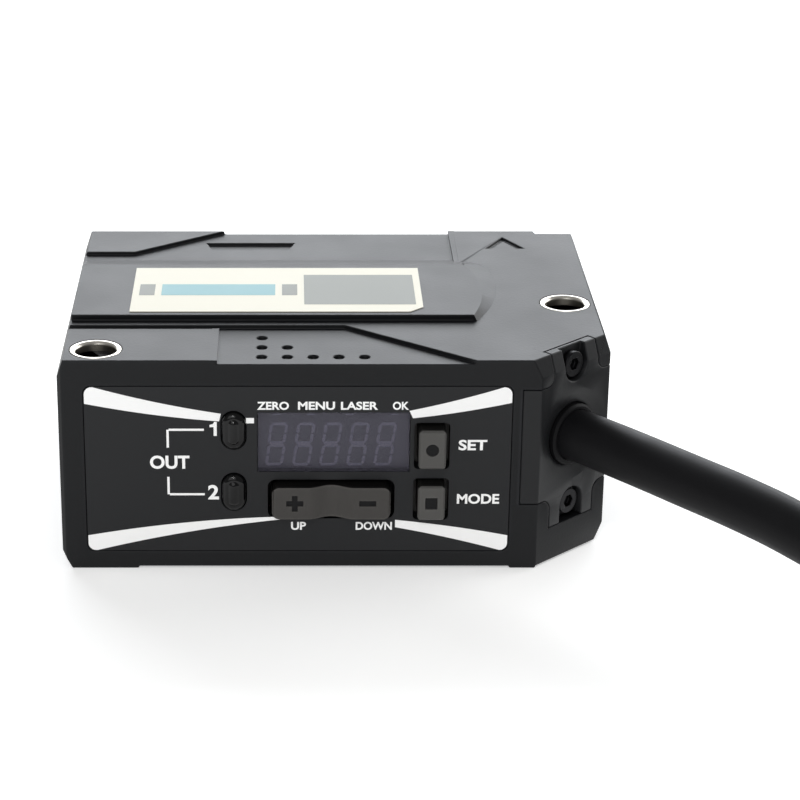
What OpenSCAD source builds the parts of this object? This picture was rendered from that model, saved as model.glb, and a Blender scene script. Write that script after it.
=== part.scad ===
// Laser displacement sensor with a built-in display, keys and a pre-wired connector.
// The key panel faces -Y, the sensing windows face +Y, and the cable leaves by the cut corner.
// Millimetres, +Z up. The origin lies under the middle of the block, on its standing plane.

/* [Body] */
// Width across the two sides
body_w = 62.4; // [60:0.2:68]
// Depth from the key panel to the sensing face
body_d = 46; // [45:0.5:54]
// Height up to the upper level of the top
body_h = 25.4; // [25:0.2:30]
// Thickness of the side and back walls
wall = 1.8; // [1.6:0.1:2]
// Thickness of the top under its upper level
top_t = 2; // [1.8:0.1:2.4]
// Thickness of the wall behind the panel sheet
front_t = 2.4; // [2.2:0.1:2.6]
// Width of the slope along each top edge
top_in = 0.7; // [0.4:0.1:1.2]
// Height of the slope along each top edge
top_down = 2.1; // [1:0.1:2.4]
// Width of the slope along each bottom edge
bottom_in = 1.1; // [0.5:0.1:1.2]
// Height of the slope along each bottom edge
bottom_up = 2.1; // [1:0.1:2.4]
// Width of the cut corner along the front
corner_x = 8.5; // [8.2:0.1:9]
// Depth of the cut corner along the side
corner_y = 8; // [7.6:0.1:8.4]
// Flat cut on each square upright edge
edge_cut = 0.5; // [0.2:0.1:0.8]
// Height of the standing pads
foot_h = 0.25; // [0.1:0.05:0.5]

/* [Top relief] */
// Drop from the upper level to the sunk fields
relief = 0.45; // [0.2:0.05:0.7]
// Rise of the label pad over the upper level
pad_h = 0.7; // [0.4:0.1:1.2]
// Front edge of the label pad, behind the front face
pad_front = 12.8; // [12:0.2:15]
// Depth of the label pad
pad_d = 17.9; // [16:0.1:19]
// Right end of the label pad, in from the right side
pad_in = 13.8; // [12.5:0.1:16]
// Bow of the label pad's right end
pad_bow = 1.5; // [0.6:0.1:2.2]
// Length of the slope behind the label pad
ramp_l = 5; // [3:0.2:5.4]
// Diameter of the moulded dimples
dimple_d = 1.2; // [0.8:0.1:1.6]
// Spacing of the moulded dimples across the front
dimple_pitch = 2.87; // [2.4:0.01:3]

/* [Mounting bushes] */
// Bore of the bushes, for an M4 screw
bore_d = 4.5; // [4.2:0.1:4.6]
// Diameter of a bush's collar
collar_d = 5.8; // [5.6:0.1:6]
// Height of a bush's collar
collar_h = 1; // [0.6:0.1:1.6]
// Diameter of a bush's shank
shank_d = 5.2; // [5.1:0.1:5.4]
// Bush centres, in from the sides
bush_in = 4.2; // [4:0.1:4.6]
// Front bush centre, behind the front face
front_bush_y = 3.6; // [3.5:0.1:4]
// Rear bush centre, behind the front face
rear_bush_y = 18.8; // [18:0.2:20]

/* [Key panel] */
// Left edge of the panel sheet, in from the left side
sheet_in = 2.96; // [2.6:0.02:3.4]
// Right edge of the panel sheet, in from the right side
sheet_out = 11.74; // [11.5:0.02:13]
// Bottom edge of the panel sheet
sheet_z = 2.23; // [2:0.01:2.6]
// Top edge of the panel sheet, below the upper level
sheet_drop = 3.13; // [2.8:0.01:3.6]
// Corner radius of the panel sheet
sheet_r = 0.9; // [0.5:0.1:1.6]
// Thickness of the panel sheet
sheet_t = 0.4; // [0.3:0.05:0.5]
// Width of the display window
window_w = 17.1; // [16:0.1:17.4]
// Height of the display window
window_h = 7.2; // [6.6:0.1:7.4]
// Display window's left edge, from the sheet's left edge
window_in = 19.3; // [18.8:0.1:19.6]
// Display window's bottom edge, over the sheet's bottom edge
window_up = 9.75; // [9.7:0.05:10.2]
// Width of an indicator lens
lens_w = 2.8; // [2.2:0.1:3]
// Height of an indicator lens
lens_h = 4.6; // [4:0.1:5]
// How far the indicator lenses stand out
lens_proud = 0.9; // [0.4:0.1:1.2]
// How far the keys stand out
key_proud = 1.3; // [1:0.1:1.6]
// Gap round the keys
key_gap = 0.45; // [0.35:0.05:0.5]
// Travel of the two push keys
key_travel = 0.3; // [0.2:0.05:0.4]
// Width of the rocker key
rocker_w = 13.4; // [12.6:0.1:13.6]
// Height of the rocker key
rocker_h = 3.9; // [3.6:0.1:4.2]
// Depth of the valley in the rocker's middle
rocker_valley = 0.9; // [0.4:0.1:1]
// Width of the push keys
push_w = 3.1; // [2.8:0.1:3.3]
// Height of the upper push key
upper_h = 4.7; // [4.2:0.1:4.8]
// Height of the lower push key
lower_h = 4.2; // [3.6:0.1:4.2]

/* [Sensing face] */
// Optical axes, below the upper level
axis_drop = 13; // [12.6:0.1:13.2]
// Laser axis, in from the right side
laser_in = 9.6; // [9.2:0.1:10]
// Width and height of the emitter window
emitter_w = 9; // [8.4:0.1:9.4]
// Middle of the receiver window, left of the body's middle
receiver_left = 9; // [8:0.2:10]
// Width of the receiver window
receiver_w = 18; // [16:0.2:19]
// Height of the receiver window
receiver_h = 13; // [12:0.2:13.4]
// Thickness of the glass panes
glass_t = 1.1; // [0.9:0.1:1.2]
// Slant of the receiving optics towards the laser axis
receiver_tilt = 30; // [26:1:32]
// Diameter of the receiver lens
receiver_lens_d = 10; // [9:0.2:10.4]
// Diameter of the laser barrel
barrel_d = 8; // [7.6:0.1:8.4]

/* [Cable entry] */
// Diameter of the cable
cable_d = 6; // [5.4:0.1:6.2]
// Cable's axis, below the upper level
cable_drop = 10.5; // [10.2:0.1:10.8]
// Thickness of the cable block
block_t = 2.8; // [2.6:0.1:3]
// Height of the cable block's middle part
block_h = 13.8; // [13.2:0.1:14.4]
// Width of the cable block's middle part
block_w = 14.5; // [14:0.1:14.8]
// Width of the cable block's screw tabs
tab_w = 7.4; // [6.8:0.1:7.8]
// Distance of the block screws from the cable's axis
block_screw_z = 8.4; // [8.2:0.1:8.5]

/* [Label] */
// Width of the label
label_w = 34; // [30:0.5:36]
// Depth of the label
label_d = 15.4; // [13:0.2:16]
// Left edge of the label, in from the left side
label_in = 7.4; // [6:0.2:9]

/* [Connector] */
// Diameter of the coupling ring
ring_d = 14.6; // [14:0.1:15]
// Length of the connector's moulded grip
grip_l = 27; // [24:0.5:28]

/* [Hidden] */
$fn = 64;

// Clearance between pieces that are fitted together
fit = 0.06;
// Overrun of a cutter past the face that it opens
over = 1;

// Body
half_w = body_w / 2;
front_y = -(body_d - key_proud) / 2;
sunk_z = body_h - relief;
pad_z = body_h + pad_h;
ceiling_z = body_h - top_t;
back_inner = body_d - wall;
plan = [[-half_w + edge_cut, 0], [half_w - corner_x, 0], [half_w, corner_y],
        [half_w, body_d - edge_cut], [half_w - edge_cut, body_d],
        [-half_w + edge_cut, body_d], [-half_w, body_d - edge_cut], [-half_w, edge_cut]];
section = [[-half_w + bottom_in, 0], [half_w - bottom_in, 0], [half_w, bottom_up],
           [half_w, body_h - top_down], [half_w - top_in, body_h],
           [-half_w + top_in, body_h], [-half_w, body_h - top_down], [-half_w, bottom_up]];

// Cut corner: its middle, its turn, and how deep the inner wall lies behind it
corner_mid = [half_w - corner_x / 2, corner_y / 2];
corner_turn = atan2(corner_y, corner_x);
gasket_t = 0.25;
corner_wall = 1.4;
corner_t = block_t + gasket_t + corner_wall;
inner_corner = corner_mid + corner_t * [-sin(corner_turn), cos(corner_turn)];

// Columns that hold the bushes
column_wall = 1.6;
column_r = collar_d / 2 + column_wall;
bush_x = half_w - bush_in;

// Base cover and its screws
cover_t = 1.9;
cover_top = foot_h + cover_t;
post_r = 2.2;
post_h = 3;
cover_screw_r = 0.8;
cover_head_r = 1.6;
cover_head_h = 0.9;
cover_slot = [1.8, 0.4, 1.4];
post_lap = 0.4;
post_cap = 0.4;
tip_gap = 0.2;
post_behind_bush = 2;
front_post_in = 10;
post_set = post_r - post_lap;
cover_posts = [[-half_w + wall + post_set, front_bush_y + column_r + post_r + post_behind_bush],
               [-half_w + wall + post_set, back_inner - post_set],
               [half_w - wall - post_set, back_inner - post_set],
               [inner_corner[0] - front_post_in, front_t + post_set]];

// Key panel. Its layout is drawn for one size of sheet and spreads with the sheet.
drawn_sheet = [47.7, 20.04];
sheet_w = body_w - sheet_in - sheet_out;
sheet_h = body_h - sheet_z - sheet_drop;
spread = sheet_w / drawn_sheet[0];
rise = sheet_h / drawn_sheet[1];
sheet_x = -half_w + sheet_in;
sheet_set = 0.05;
window_x = sheet_x + window_in * spread;
window_z = sheet_z + window_up * rise;
window_size = [window_w * spread, window_h * rise];
window_t = 1;
window_set = 0.08;

// Lenses and keys, placed from the lower left corner of the drawn sheet
lens_in = 16.65;
lens_ups = [14.8, 7.3];
rocker_in = 27.6;
push_in = 38.85;
lower_row_up = 6.4;
upper_key_up = 12.9;
lens_x = sheet_x + lens_in * spread;
lens_zs = [for (up = lens_ups) sheet_z + up * rise];
lens_l = lens_h * rise;
lens_flange = 0.5;
lens_rim = 0.6;
dome_in = [0.5, 0.6];
dome_set = 0.1;
dome_y = dome_set - lens_proud / 2;
pipe_in = 0.5;
pipe_gap = 1;
rocker_x = sheet_x + rocker_in * spread;
rocker_size = [rocker_w * spread, rocker_h * rise];
push_x = sheet_x + push_in * spread;
lower_row_z = sheet_z + lower_row_up * rise;
upper_key_z = sheet_z + upper_key_up * rise;
upper_l = upper_h * rise;
lower_l = lower_h * rise;
cap_lap = 0.2;
cap_back = front_t + cap_lap;
rocker_short = 0.5;
rocker_back = front_t - rocker_short;
key_r = 0.5;
rocker_r = 0.9;
key_edge = 0.25;
flange_t = 0.6;
flange_rim = 0.7;
flange_end = 0.6;
flange_gap = 0.1;

// Signs sunk in the key faces
sign_t = 0.15;
sign_l = 1.9;
sign_w = 0.62;
dot_r = 0.72;
square_w = 1.36;

// Boards behind the panel
board_t = 1;
board_behind = 3.6;
board_y = front_t + board_behind;
switch_w = 3;
switch_h = 1.2;
plunger_r = 0.7;
plunger_h = 0.4;
stem_r = 0.8;
stem_gap = 0.1;
stem_end = board_y - switch_h - plunger_h - key_travel - stem_gap;
arm_share = 0.306;
rocker_arm = arm_share * rocker_size[0];
pivot_behind = 0.9;
pivot_y = front_t + pivot_behind;
pivot_r = 0.6;
pivot_end = 0.1;
hub_r = 1.1;
hub_h = 1.8;
board_gap = 0.5;
board_right_in = 6;
board_rise = 0.4;
board_drop = 0.8;
board_x0 = -bush_x + column_r + board_gap;
board_x1 = inner_corner[0] - board_right_in;
board_z0 = cover_top + post_h + board_rise;
board_z1 = ceiling_z - board_drop;
board_post_r = 1.3;
board_post_in = 1.6;
board_posts = [for (x = [board_x0 + board_post_in, board_x1 - board_post_in],
                    z = [board_z0 + board_post_in, board_z1 - board_post_in]) [x, z]];

// Main board under the ceiling
main_t = 1.2;
main_drop = 2.2;
main_z0 = ceiling_z - main_drop - main_t;
main_x = 20;
main_gap = 1;
main_y0 = board_y + board_t + main_gap;
main_y1 = back_inner - main_gap;
main_post_r = 1.5;
main_post_in = 2.5;

// Optics
axis_z = body_h - axis_drop;
laser_x = half_w - laser_in;
plate_t = 2.4;
plate_set = 0.05;
plate_in = [2.6, 5];
plate_behind = 5;
plate_gap = 1;
plate_clear = 0.4;
plate_z0 = cover_top + plate_set;
plate_z1 = plate_z0 + plate_t;
plate_x0 = -half_w + wall + plate_in[0];
plate_x1 = half_w - wall - plate_in[1];
plate_y0 = board_y + board_t + plate_behind;
plate_y1 = back_inner - plate_gap;
barrel_gap = 2;
barrel_wall = 1.1;
barrel_step = 0.6;
diode_lead_l = 3;
diode_gap = 0.9;
barrel_y1 = back_inner - barrel_gap;
barrel_y0 = rear_bush_y + column_r + diode_gap + diode_lead_l;
barrel_bore_d = barrel_d - 2 * barrel_wall;
lens_seat_l = 3;
diode_seat_l = 1.3;
cradle_share = 0.6;
cradle_l = cradle_share * (barrel_y1 - barrel_y0);
cradle_in = 2;
cradle_rims = [0.8, 0.6];
pane_lap = 1;
pane_set = 0.1;
pane_r = 0.8;
lens_back = 9;
receiver_x = -receiver_left;
receiver_lens_x = receiver_x - lens_back * tan(receiver_tilt);
receiver_lens_y = body_d - lens_back;
holder_rim = 1.5;
holder_over = 0.9;
holder_w = receiver_lens_d + 2 * holder_rim;
holder_d = 4.6;
holder_z1 = axis_z + receiver_lens_d / 2 + holder_over;
lens_stop = 0.8;
sensor_back = 12.5;
sensor_wall_w = 12;
sensor_wall_d = 2.2;
sensor_board_t = 1;
sensor_board_in = [0.2, 0.4];
sensor_chip = [10, 1.2, 3.6];

// Cable block
cable_z = body_h - cable_drop;
tab_end = 2.1;
tab_z = block_screw_z + tab_end;
reach = 4;
block_round = 1.3;
screw_r = 0.95;
screw_head_r = 1.5;
screw_head_h = 0.9;
screw_l = 5.5;
socket_r = 0.75;
socket_deep = 0.55;
pocket_r = 1.9;
pocket_t = 1.3;
boss_r = 2;
boss_end = 0.8;
bush_wall = 0.55;
bush_lip = 0.2;
bush_edge = 0.25;
dish_r = 5.4;
dish_t = 0.9;
cable_hole_r = cable_d / 2 + fit;
bush_r = cable_hole_r + bush_wall;
cable_slack = 0.2;
clip_wall = 0.6;
clip_r = bush_r + clip_wall;
clip_l = 2;

// Cable route. Each point is [distance out along the cut corner's normal, distance to the left of it,
// height]. The lead runs out and sinks from the block to the coil, each point with its share of that
// height, and the tail runs from the coil to the connector.
tie_t = 0.5;
coil_r = 30;
coil_step = 6.2;
coil_z = cable_d / 2 + tie_t;
coil_rise = 6.1;
coil_mid = [64, coil_r];
lead_points = [[-8, 1], [0, 1], [2, 1], [8, 0.987], [16, 0.956], [24, 0.921], [30, 0.868], [38, 0.735],
               [44, 0.56], [50, 0.345], [55, 0.165], [60, 0.04], [64, 0]];
lead_route = [for (p = lead_points) [p[0], 0, coil_z + p[1] * (cable_z - coil_z)]];
tail_route = [[64, 60, 9.6], [60, 60, 9.3], [56, 60, 8.6], [52, 60, 7.9], [48, 60, 7.45], [45.5, 60, 7.3],
              [43.02, 60, 7.3]];
cable_sides = 10;
tie_w = 4;
tie_gap = 0.2;
tie_turn = 270;

// Connector at the end of the tail
connector_at = [43, 60];
connector_z = ring_d / 2;
neck_r = 4.6;
ring_play = 0.08;
ring_bore_r = neck_r + ring_play;
ring_gap = 0.2;
knurl_l = 10;
thread_r = 6;
thread_l = 8;
insert_l = 2;
insert_in = 0.4;
key_slot_r = 0.7;
key_slot_z = 1;
pin_r = 0.5;
pin_l = 4.5;
pin_ring_r = 2.5;

// Places a piece drawn with the front face at y = 0
module in_body() translate([0, front_y, 0]) children();

// Prism over an outline drawn in x and z, from depth y0 to depth y1
module through(y0, y1) translate([0, y1, 0]) rotate([90, 0, 0]) linear_extrude(y1 - y0) children();

// Prism over an outline drawn in y and z, from x0 to x1
module across(x0, x1) translate([x0, 0, 0]) rotate([90, 0, 90]) linear_extrude(x1 - x0) children();

// Places a piece at the cut corner: x runs along the cut, y runs into the body
module at_corner() translate([corner_mid[0], corner_mid[1], 0]) rotate([0, 0, corner_turn]) children();

// Places a piece along the cable axis at the cut corner: z runs into the body
module on_cable_axis() at_corner() translate([0, 0, cable_z]) rotate([-90, 0, 0]) children();

// Places a piece on the slanted receiving axis: y runs out towards the target
module on_receiver_axis() translate([receiver_lens_x, receiver_lens_y, 0])
    rotate([0, 0, -receiver_tilt]) children();

// Rectangle about a centre with round corners
module round_rect(w, h, r) {
    square([w - 2 * r, h], center = true);
    square([w, h - 2 * r], center = true);
    for (x = [-w / 2 + r, w / 2 - r], y = [-h / 2 + r, h / 2 - r]) translate([x, y]) circle(r);
}

// Upright pill about a centre
module pill(w, h) {
    square([w, h - w], center = true);
    for (s = [-1, 1]) translate([0, s * (h - w) / 2]) circle(w / 2);
}

// Inner outline of the case, drawn in by a margin
function inner_plan(margin) = let(
    c = inner_corner + margin * [-sin(corner_turn), cos(corner_turn)],
    y0 = front_t + margin, x1 = half_w - wall - margin, y1 = back_inner - margin)
    [[-x1, y0], [c[0] + (y0 - c[1]) / tan(corner_turn), y0],
     [x1, c[1] + (x1 - c[0]) * tan(corner_turn)], [x1, y1], [-x1, y1]];

// Plan of the two columns, grown by a margin
module columns(margin) {
    r = column_r + margin;
    translate([-half_w, 0]) square([half_w - bush_x + r, front_bush_y + r]);
    translate([bush_x - r, rear_bush_y - r]) square([half_w - bush_x + r, 2 * r]);
}

// Outer form of the case, without its relief
module envelope() intersection() {
    through(0, body_d) polygon(section);
    linear_extrude(body_h) polygon(plan);
}

// Outline of the label pad: a rectangle whose right end is bowed
pad_x1 = half_w - pad_in;
pad_back = pad_front + pad_d;
pad_end_r = (pad_d * pad_d / 4 + pad_bow * pad_bow) / (2 * pad_bow);
pad_end_mid = [pad_x1 - pad_end_r, pad_front + pad_d / 2];
pad_end_angle = asin(pad_d / 2 / pad_end_r);
pad_left = -half_w + top_in;
pad_slope = ramp_l * pad_h / (pad_h + relief);

// Raised label pad with slopes behind it and at its right end, joined by a cone at the corner
cone_set = 0.03;
module label_pad() {
    translate([0, 0, sunk_z]) linear_extrude(pad_z - sunk_z) intersection() {
        translate([pad_left, pad_front]) square([pad_x1 - pad_left, pad_d]);
        translate(pad_end_mid) circle(pad_end_r, $fn = 128);
    }
    across(pad_left, pad_x1 - pad_bow) polygon([
        [pad_back - over, sunk_z], [pad_back + ramp_l, sunk_z], [pad_back, pad_z], [pad_back - over, pad_z]]);
    translate([pad_end_mid[0], pad_end_mid[1], body_h]) rotate([0, 0, -pad_end_angle])
        rotate_extrude(angle = 2 * pad_end_angle, $fn = 128)
            polygon([[pad_end_r - over, -relief], [pad_end_r + pad_slope, -relief],
                     [pad_end_r + pad_slope, 0], [pad_end_r, pad_h], [pad_end_r - over, pad_h]]);
    translate([pad_x1 - pad_bow, pad_back, body_h - cone_set])
        cylinder(r1 = pad_slope - cone_set, r2 = 0, h = pad_h);
}

// Sunk field in front of the label pad, with the groove beside the front bush. Its left end is a slope.
field_slope = 0.6;
field_in = 17.85;
field_gap = 1.5;
field_end_in = [15.8, 30.2];
field_x = -half_w + field_in;
field_back = pad_front - field_gap;
groove_w = 1.1;
field_end = [for (v = field_end_in) half_w - v];
module front_field() {
    translate([0, 0, sunk_z]) linear_extrude(relief + over) polygon([
        [field_x, -over], [field_end[0], -over], [field_end[0], 0], [field_end[1], field_back],
        [-half_w - over, field_back], [-half_w - over, field_back - groove_w],
        [field_x, field_back - groove_w]]);
    through(-over, field_back - groove_w) translate([field_x, sunk_z]) polygon([
        [0, 0], [over, 0], [over, relief + over], [-field_slope, relief + over], [-field_slope, relief]]);
}

// Sunk field behind the label pad, which leaves a raised island at the left. Its right end is a slope.
back_field_in = 16.3;
island_in = [6.7, 17.7];
island_d = 8.4;
back_field_x = half_w - back_field_in;
island_x = -half_w + island_in[0];
island_end = -half_w + island_in[1];
island_y = body_d - island_d;
module back_field() {
    translate([0, 0, sunk_z]) linear_extrude(relief + over) polygon([
        [-half_w - over, pad_back - over], [back_field_x, pad_back - over], [back_field_x, body_d + over],
        [island_end, body_d + over], [island_end, body_d], [island_x, island_y], [-half_w - over, island_y]]);
    through(pad_back - over, body_d + over) translate([back_field_x, sunk_z]) polygon([
        [0, 0], [field_slope, relief], [field_slope, relief + over], [-over, relief + over], [-over, 0]]);
}

// Row of dimples that steps down from the left
dimple_t = 0.5;
dimple_y = 2.3;
dimple_in = 4.9;
dimple_row = 3;
dimple_counts = [3, 2, 1, 1, 1];
module dimples() for (column = [0 : len(dimple_counts) - 1], row = [0 : dimple_counts[column] - 1])
    translate([field_x + dimple_in + column * dimple_pitch, dimple_y + row * dimple_row, sunk_z - dimple_t])
        cylinder(d = dimple_d, h = dimple_t + over, $fn = 24);

// Shallow marks near the back edge: a tapered pocket, the beam arrow and the round corner recess
mark_t = 0.35;
arrow_w = 2.4;
arrow_l = 4.4;
arrow_t = 0.9;
arrow_notch = 1.6;
arrow_in = 7;
arrow_y = body_d - arrow_in;
pocket_in = [21, 5];
pocket_l = 11;
pocket_d = 2.8;
pocket_taper = 0.8;
corner_recess_in = 2.4;
corner_recess_r = 3;
module back_marks() {
    translate([-half_w + pocket_in[0], body_d - pocket_in[1], sunk_z - mark_t]) linear_extrude(mark_t + over)
        polygon([[-pocket_l / 2, pocket_d / 2], [pocket_l / 2, pocket_d / 2],
                 [pocket_l / 2 - pocket_taper, -pocket_d / 2], [pocket_taper - pocket_l / 2, -pocket_d / 2]]);
    translate([0, 0, body_h - mark_t]) linear_extrude(mark_t + over) {
        translate([laser_x, arrow_y])
            polygon([[-arrow_w, 0], [0, arrow_l], [arrow_w, 0], [arrow_w - arrow_t, 0],
                     [0, arrow_l - arrow_notch], [arrow_t - arrow_w, 0]]);
        translate([half_w - corner_recess_in, body_d]) circle(corner_recess_r, $fn = 48);
    }
}

// Outline of the cable block: a middle part with a screw tab above and below, filleted where they meet
fillet_lap = 0.1;
module block_outline(margin) {
    fillet = block_round - 2 * margin;
    square([block_w + 2 * margin, block_h + 2 * margin], center = true);
    square([tab_w + 2 * margin, 2 * (tab_z + margin)], center = true);
    for (x = [-1, 1], z = [-1, 1])
        translate([x * (tab_w / 2 + margin), z * (block_h / 2 + margin)]) difference() {
            translate([x, z] * (fillet - fillet_lap) / 2) square(fillet + fillet_lap, center = true);
            translate([x, z] * fillet) circle(fillet);
        }
}

// Prism of the cable block's outline behind the cut corner
module block_prism(margin, depth) at_corner() translate([0, 0, cable_z])
    through(-reach, depth) block_outline(margin);

// Screw pocket of the cable block, open at its outer end
module screw_pocket(side) translate([0, 0, cable_z + side * block_screw_z]) through(-reach, pocket_t) {
    circle(pocket_r);
    translate([-pocket_r, side > 0 ? 0 : -reach]) square([2 * pocket_r, reach]);
}

// Row of shapes at the two block screws, drawn along the screws' axes
module at_block_screws() for (side = [-1, 1])
    at_corner() translate([0, 0, cable_z + side * block_screw_z]) rotate([-90, 0, 0]) children();

// Openings of the front wall for the window, the lenses and the keys
module panel_openings(window_margin) {
    translate([window_x - window_margin, window_z - window_margin])
        square([window_size[0] + 2 * window_margin, window_size[1] + 2 * window_margin]);
    for (z = lens_zs) translate([lens_x, z]) pill(lens_w + 2 * fit, lens_l + 2 * fit);
    translate([rocker_x, lower_row_z])
        round_rect(rocker_size[0] + 2 * key_gap, rocker_size[1] + 2 * key_gap, rocker_r);
    translate([push_x, upper_key_z]) round_rect(push_w + 2 * key_gap, upper_l + 2 * key_gap, key_r);
    translate([push_x, lower_row_z]) round_rect(push_w + 2 * key_gap, lower_l + 2 * key_gap, key_r);
}

// Moulded case with the top, the front wall and the bush columns in one piece
module main_case() color("#2c2d30") in_body() difference() {
    union() {
        difference() {
            envelope();
            front_field();
            back_field();
        }
        intersection() {
            label_pad();
            linear_extrude(2 * body_h) polygon(plan);
        }
    }
    difference() {
        translate([0, 0, -over]) linear_extrude(ceiling_z + over) polygon(inner_plan(0));
        translate([0, 0, -2 * over]) linear_extrude(body_h) columns(0);
        case_posts();
    }
    through(-over, sheet_t + fit / 2) translate([sheet_x + sheet_w / 2, sheet_z + sheet_h / 2])
        round_rect(sheet_w + 2 * fit, sheet_h + 2 * fit, sheet_r);
    through(-over, front_t + over) panel_openings(fit);
    block_prism(fit, block_t + gasket_t);
    on_cable_axis() translate([0, 0, -over])
        cylinder(r = cable_hole_r + cable_slack, h = corner_t + 2 * over);
    at_block_screws() cylinder(r = screw_r + fit, h = pocket_t + screw_l + fit);
    bush_space(-bush_x, front_bush_y);
    bush_space(bush_x, rear_bush_y);
    pane_seat(laser_x, emitter_w, emitter_w);
    pane_seat(receiver_x, receiver_w, receiver_h);
    dimples();
    back_marks();
    for (p = cover_posts) translate([p[0], p[1], 0])
        cylinder(r = cover_screw_r + fit, h = cover_top + post_h - post_cap, $fn = 32);
    foot_relief();
}

// Posts inside the case for the base cover, the display board, the main board and the block screws
module case_posts() {
    for (p = cover_posts) translate([p[0], p[1], cover_top]) cylinder(r = post_r, h = post_h);
    through(0, board_y) for (p = board_posts) translate(p) circle(board_post_r, $fn = 32);
    for (side = [-1, 1], y = [main_y0 + main_post_in, main_y1 - main_post_in])
        translate([side * (main_x - main_post_in), y, main_z0 + main_t])
            cylinder(r = main_post_r, h = main_drop, $fn = 32);
    at_block_screws() cylinder(r = boss_r, h = pocket_t + screw_l + boss_end, $fn = 32);
}

// Space for one bush through the full height
module bush_space(x, y) translate([x, y, 0]) {
    translate([0, 0, -over]) cylinder(d = shank_d + 2 * fit, h = body_h + 2 * over);
    translate([0, 0, body_h - collar_h - fit]) cylinder(d = collar_d + 2 * fit, h = collar_h + over);
}

// Seat and light opening of one window pane in the back wall
module pane_seat(x, w, h) translate([x, 0, axis_z]) {
    through(body_d - glass_t - pane_set - fit, body_d + over) round_rect(w + 2 * fit, h + 2 * fit, pane_r);
    through(back_inner - over, body_d) square([w - 2 * pane_lap, h - 2 * pane_lap], center = true);
}

// Cut under the case that leaves the standing pads at the columns and corners
foot_w = 8;
foot_d = 5;
corner_foot_w = 3;
module foot_relief() difference() {
    translate([-half_w - over, -over, -over]) cube([body_w + 2 * over, body_d + 2 * over, over + foot_h]);
    translate([0, 0, -2 * over]) linear_extrude(3 * over) {
        columns(0);
        translate([half_w - corner_x - corner_foot_w, 0]) square([corner_foot_w, front_t]);
        for (x = [-half_w, half_w - foot_w]) translate([x, body_d - foot_d]) square([foot_w, foot_d]);
    }
}

// Flat cover that closes the case from below, with countersunk screw holes
module base_cover() color("#303134") in_body() difference() {
    translate([0, 0, foot_h]) linear_extrude(cover_t) difference() {
        polygon(inner_plan(fit));
        columns(fit);
    }
    for (p = cover_posts) translate([p[0], p[1], 0]) {
        cylinder(r = cover_screw_r + fit, h = cover_top + over, $fn = 32);
        cylinder(r = cover_head_r + fit, h = foot_h + cover_head_h, $fn = 32);
    }
}

// Four pan screws sunk in the base cover, each with a cross recess
module cover_screws() color("#b9bcc0") in_body() for (p = cover_posts)
    translate([p[0], p[1], foot_h]) difference() {
        union() {
            cylinder(r = cover_head_r, h = cover_head_h - fit / 2, $fn = 32);
            cylinder(r = cover_screw_r, h = cover_t + post_h - post_cap - tip_gap, $fn = 32);
        }
        for (turn = [0, 90]) rotate([0, 0, turn]) cube(cover_slot, center = true);
    }

// Printed sheet over the front wall
module panel_sheet() color("#26272a") in_body() through(sheet_set, sheet_t) difference() {
    translate([sheet_x + sheet_w / 2, sheet_z + sheet_h / 2]) round_rect(sheet_w, sheet_h, sheet_r);
    panel_openings(0);
}

// Smoked window over the digits
module display_window() color("#3a3842") in_body() translate([window_x + fit, 0, window_z + fit])
    through(window_set, window_t) square([window_size[0] - 2 * fit, window_size[1] - 2 * fit]);

// One indicator lens: a domed pill, a flange behind the wall and a light pipe
module indicator_lens(z) in_body() translate([lens_x, 0, z]) {
    intersection() {
        through(-lens_proud, cap_back) pill(lens_w, lens_l);
        across(-lens_w, lens_w) polygon([
            [front_t + over, -lens_l], [front_t + over, lens_l],
            [dome_y, lens_l], [-lens_proud, lens_l / 2 - dome_in[1]],
            [-lens_proud, dome_in[1] - lens_l / 2], [dome_y, -lens_l]]);
        linear_extrude(4 * lens_l, center = true) polygon([
            [-lens_w, front_t + over], [lens_w, front_t + over],
            [lens_w / 2, dome_y], [lens_w / 2 - dome_in[0], -lens_proud],
            [dome_in[0] - lens_w / 2, -lens_proud], [-lens_w / 2, dome_y]]);
    }
    through(front_t + fit, front_t + fit + lens_flange) pill(lens_w + 2 * lens_rim, lens_l + 2 * lens_rim);
    through(front_t, board_y - pipe_gap) pill(lens_w - 2 * pipe_in, lens_l - 2 * pipe_in);
}
module indicator_lens_upper() color("#141416") indicator_lens(lens_zs[0]);
module indicator_lens_lower() color("#141416") indicator_lens(lens_zs[1]);

// Front face of the rocker: two finger pads with a smooth valley between them
valley_share = 0.4;
valley_w = valley_share * rocker_size[0];
valley_steps = 14;
function valley(t) = rocker_valley * (1 + cos(180 * t)) / 2;
rocker_face = [for (i = [-valley_steps : valley_steps]) let(t = i / valley_steps)
    [t * valley_w / 2, -key_proud + valley(t)]];
rocker_side = [[-rocker_size[0] / 2, rocker_back], [-rocker_size[0] / 2, key_edge - key_proud],
               [-rocker_size[0] / 2 + key_edge, -key_proud]];

// Cut of one sign into a key's face
module sunk_sign() through(-key_proud - over, sign_t - key_proud) children();

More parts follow.
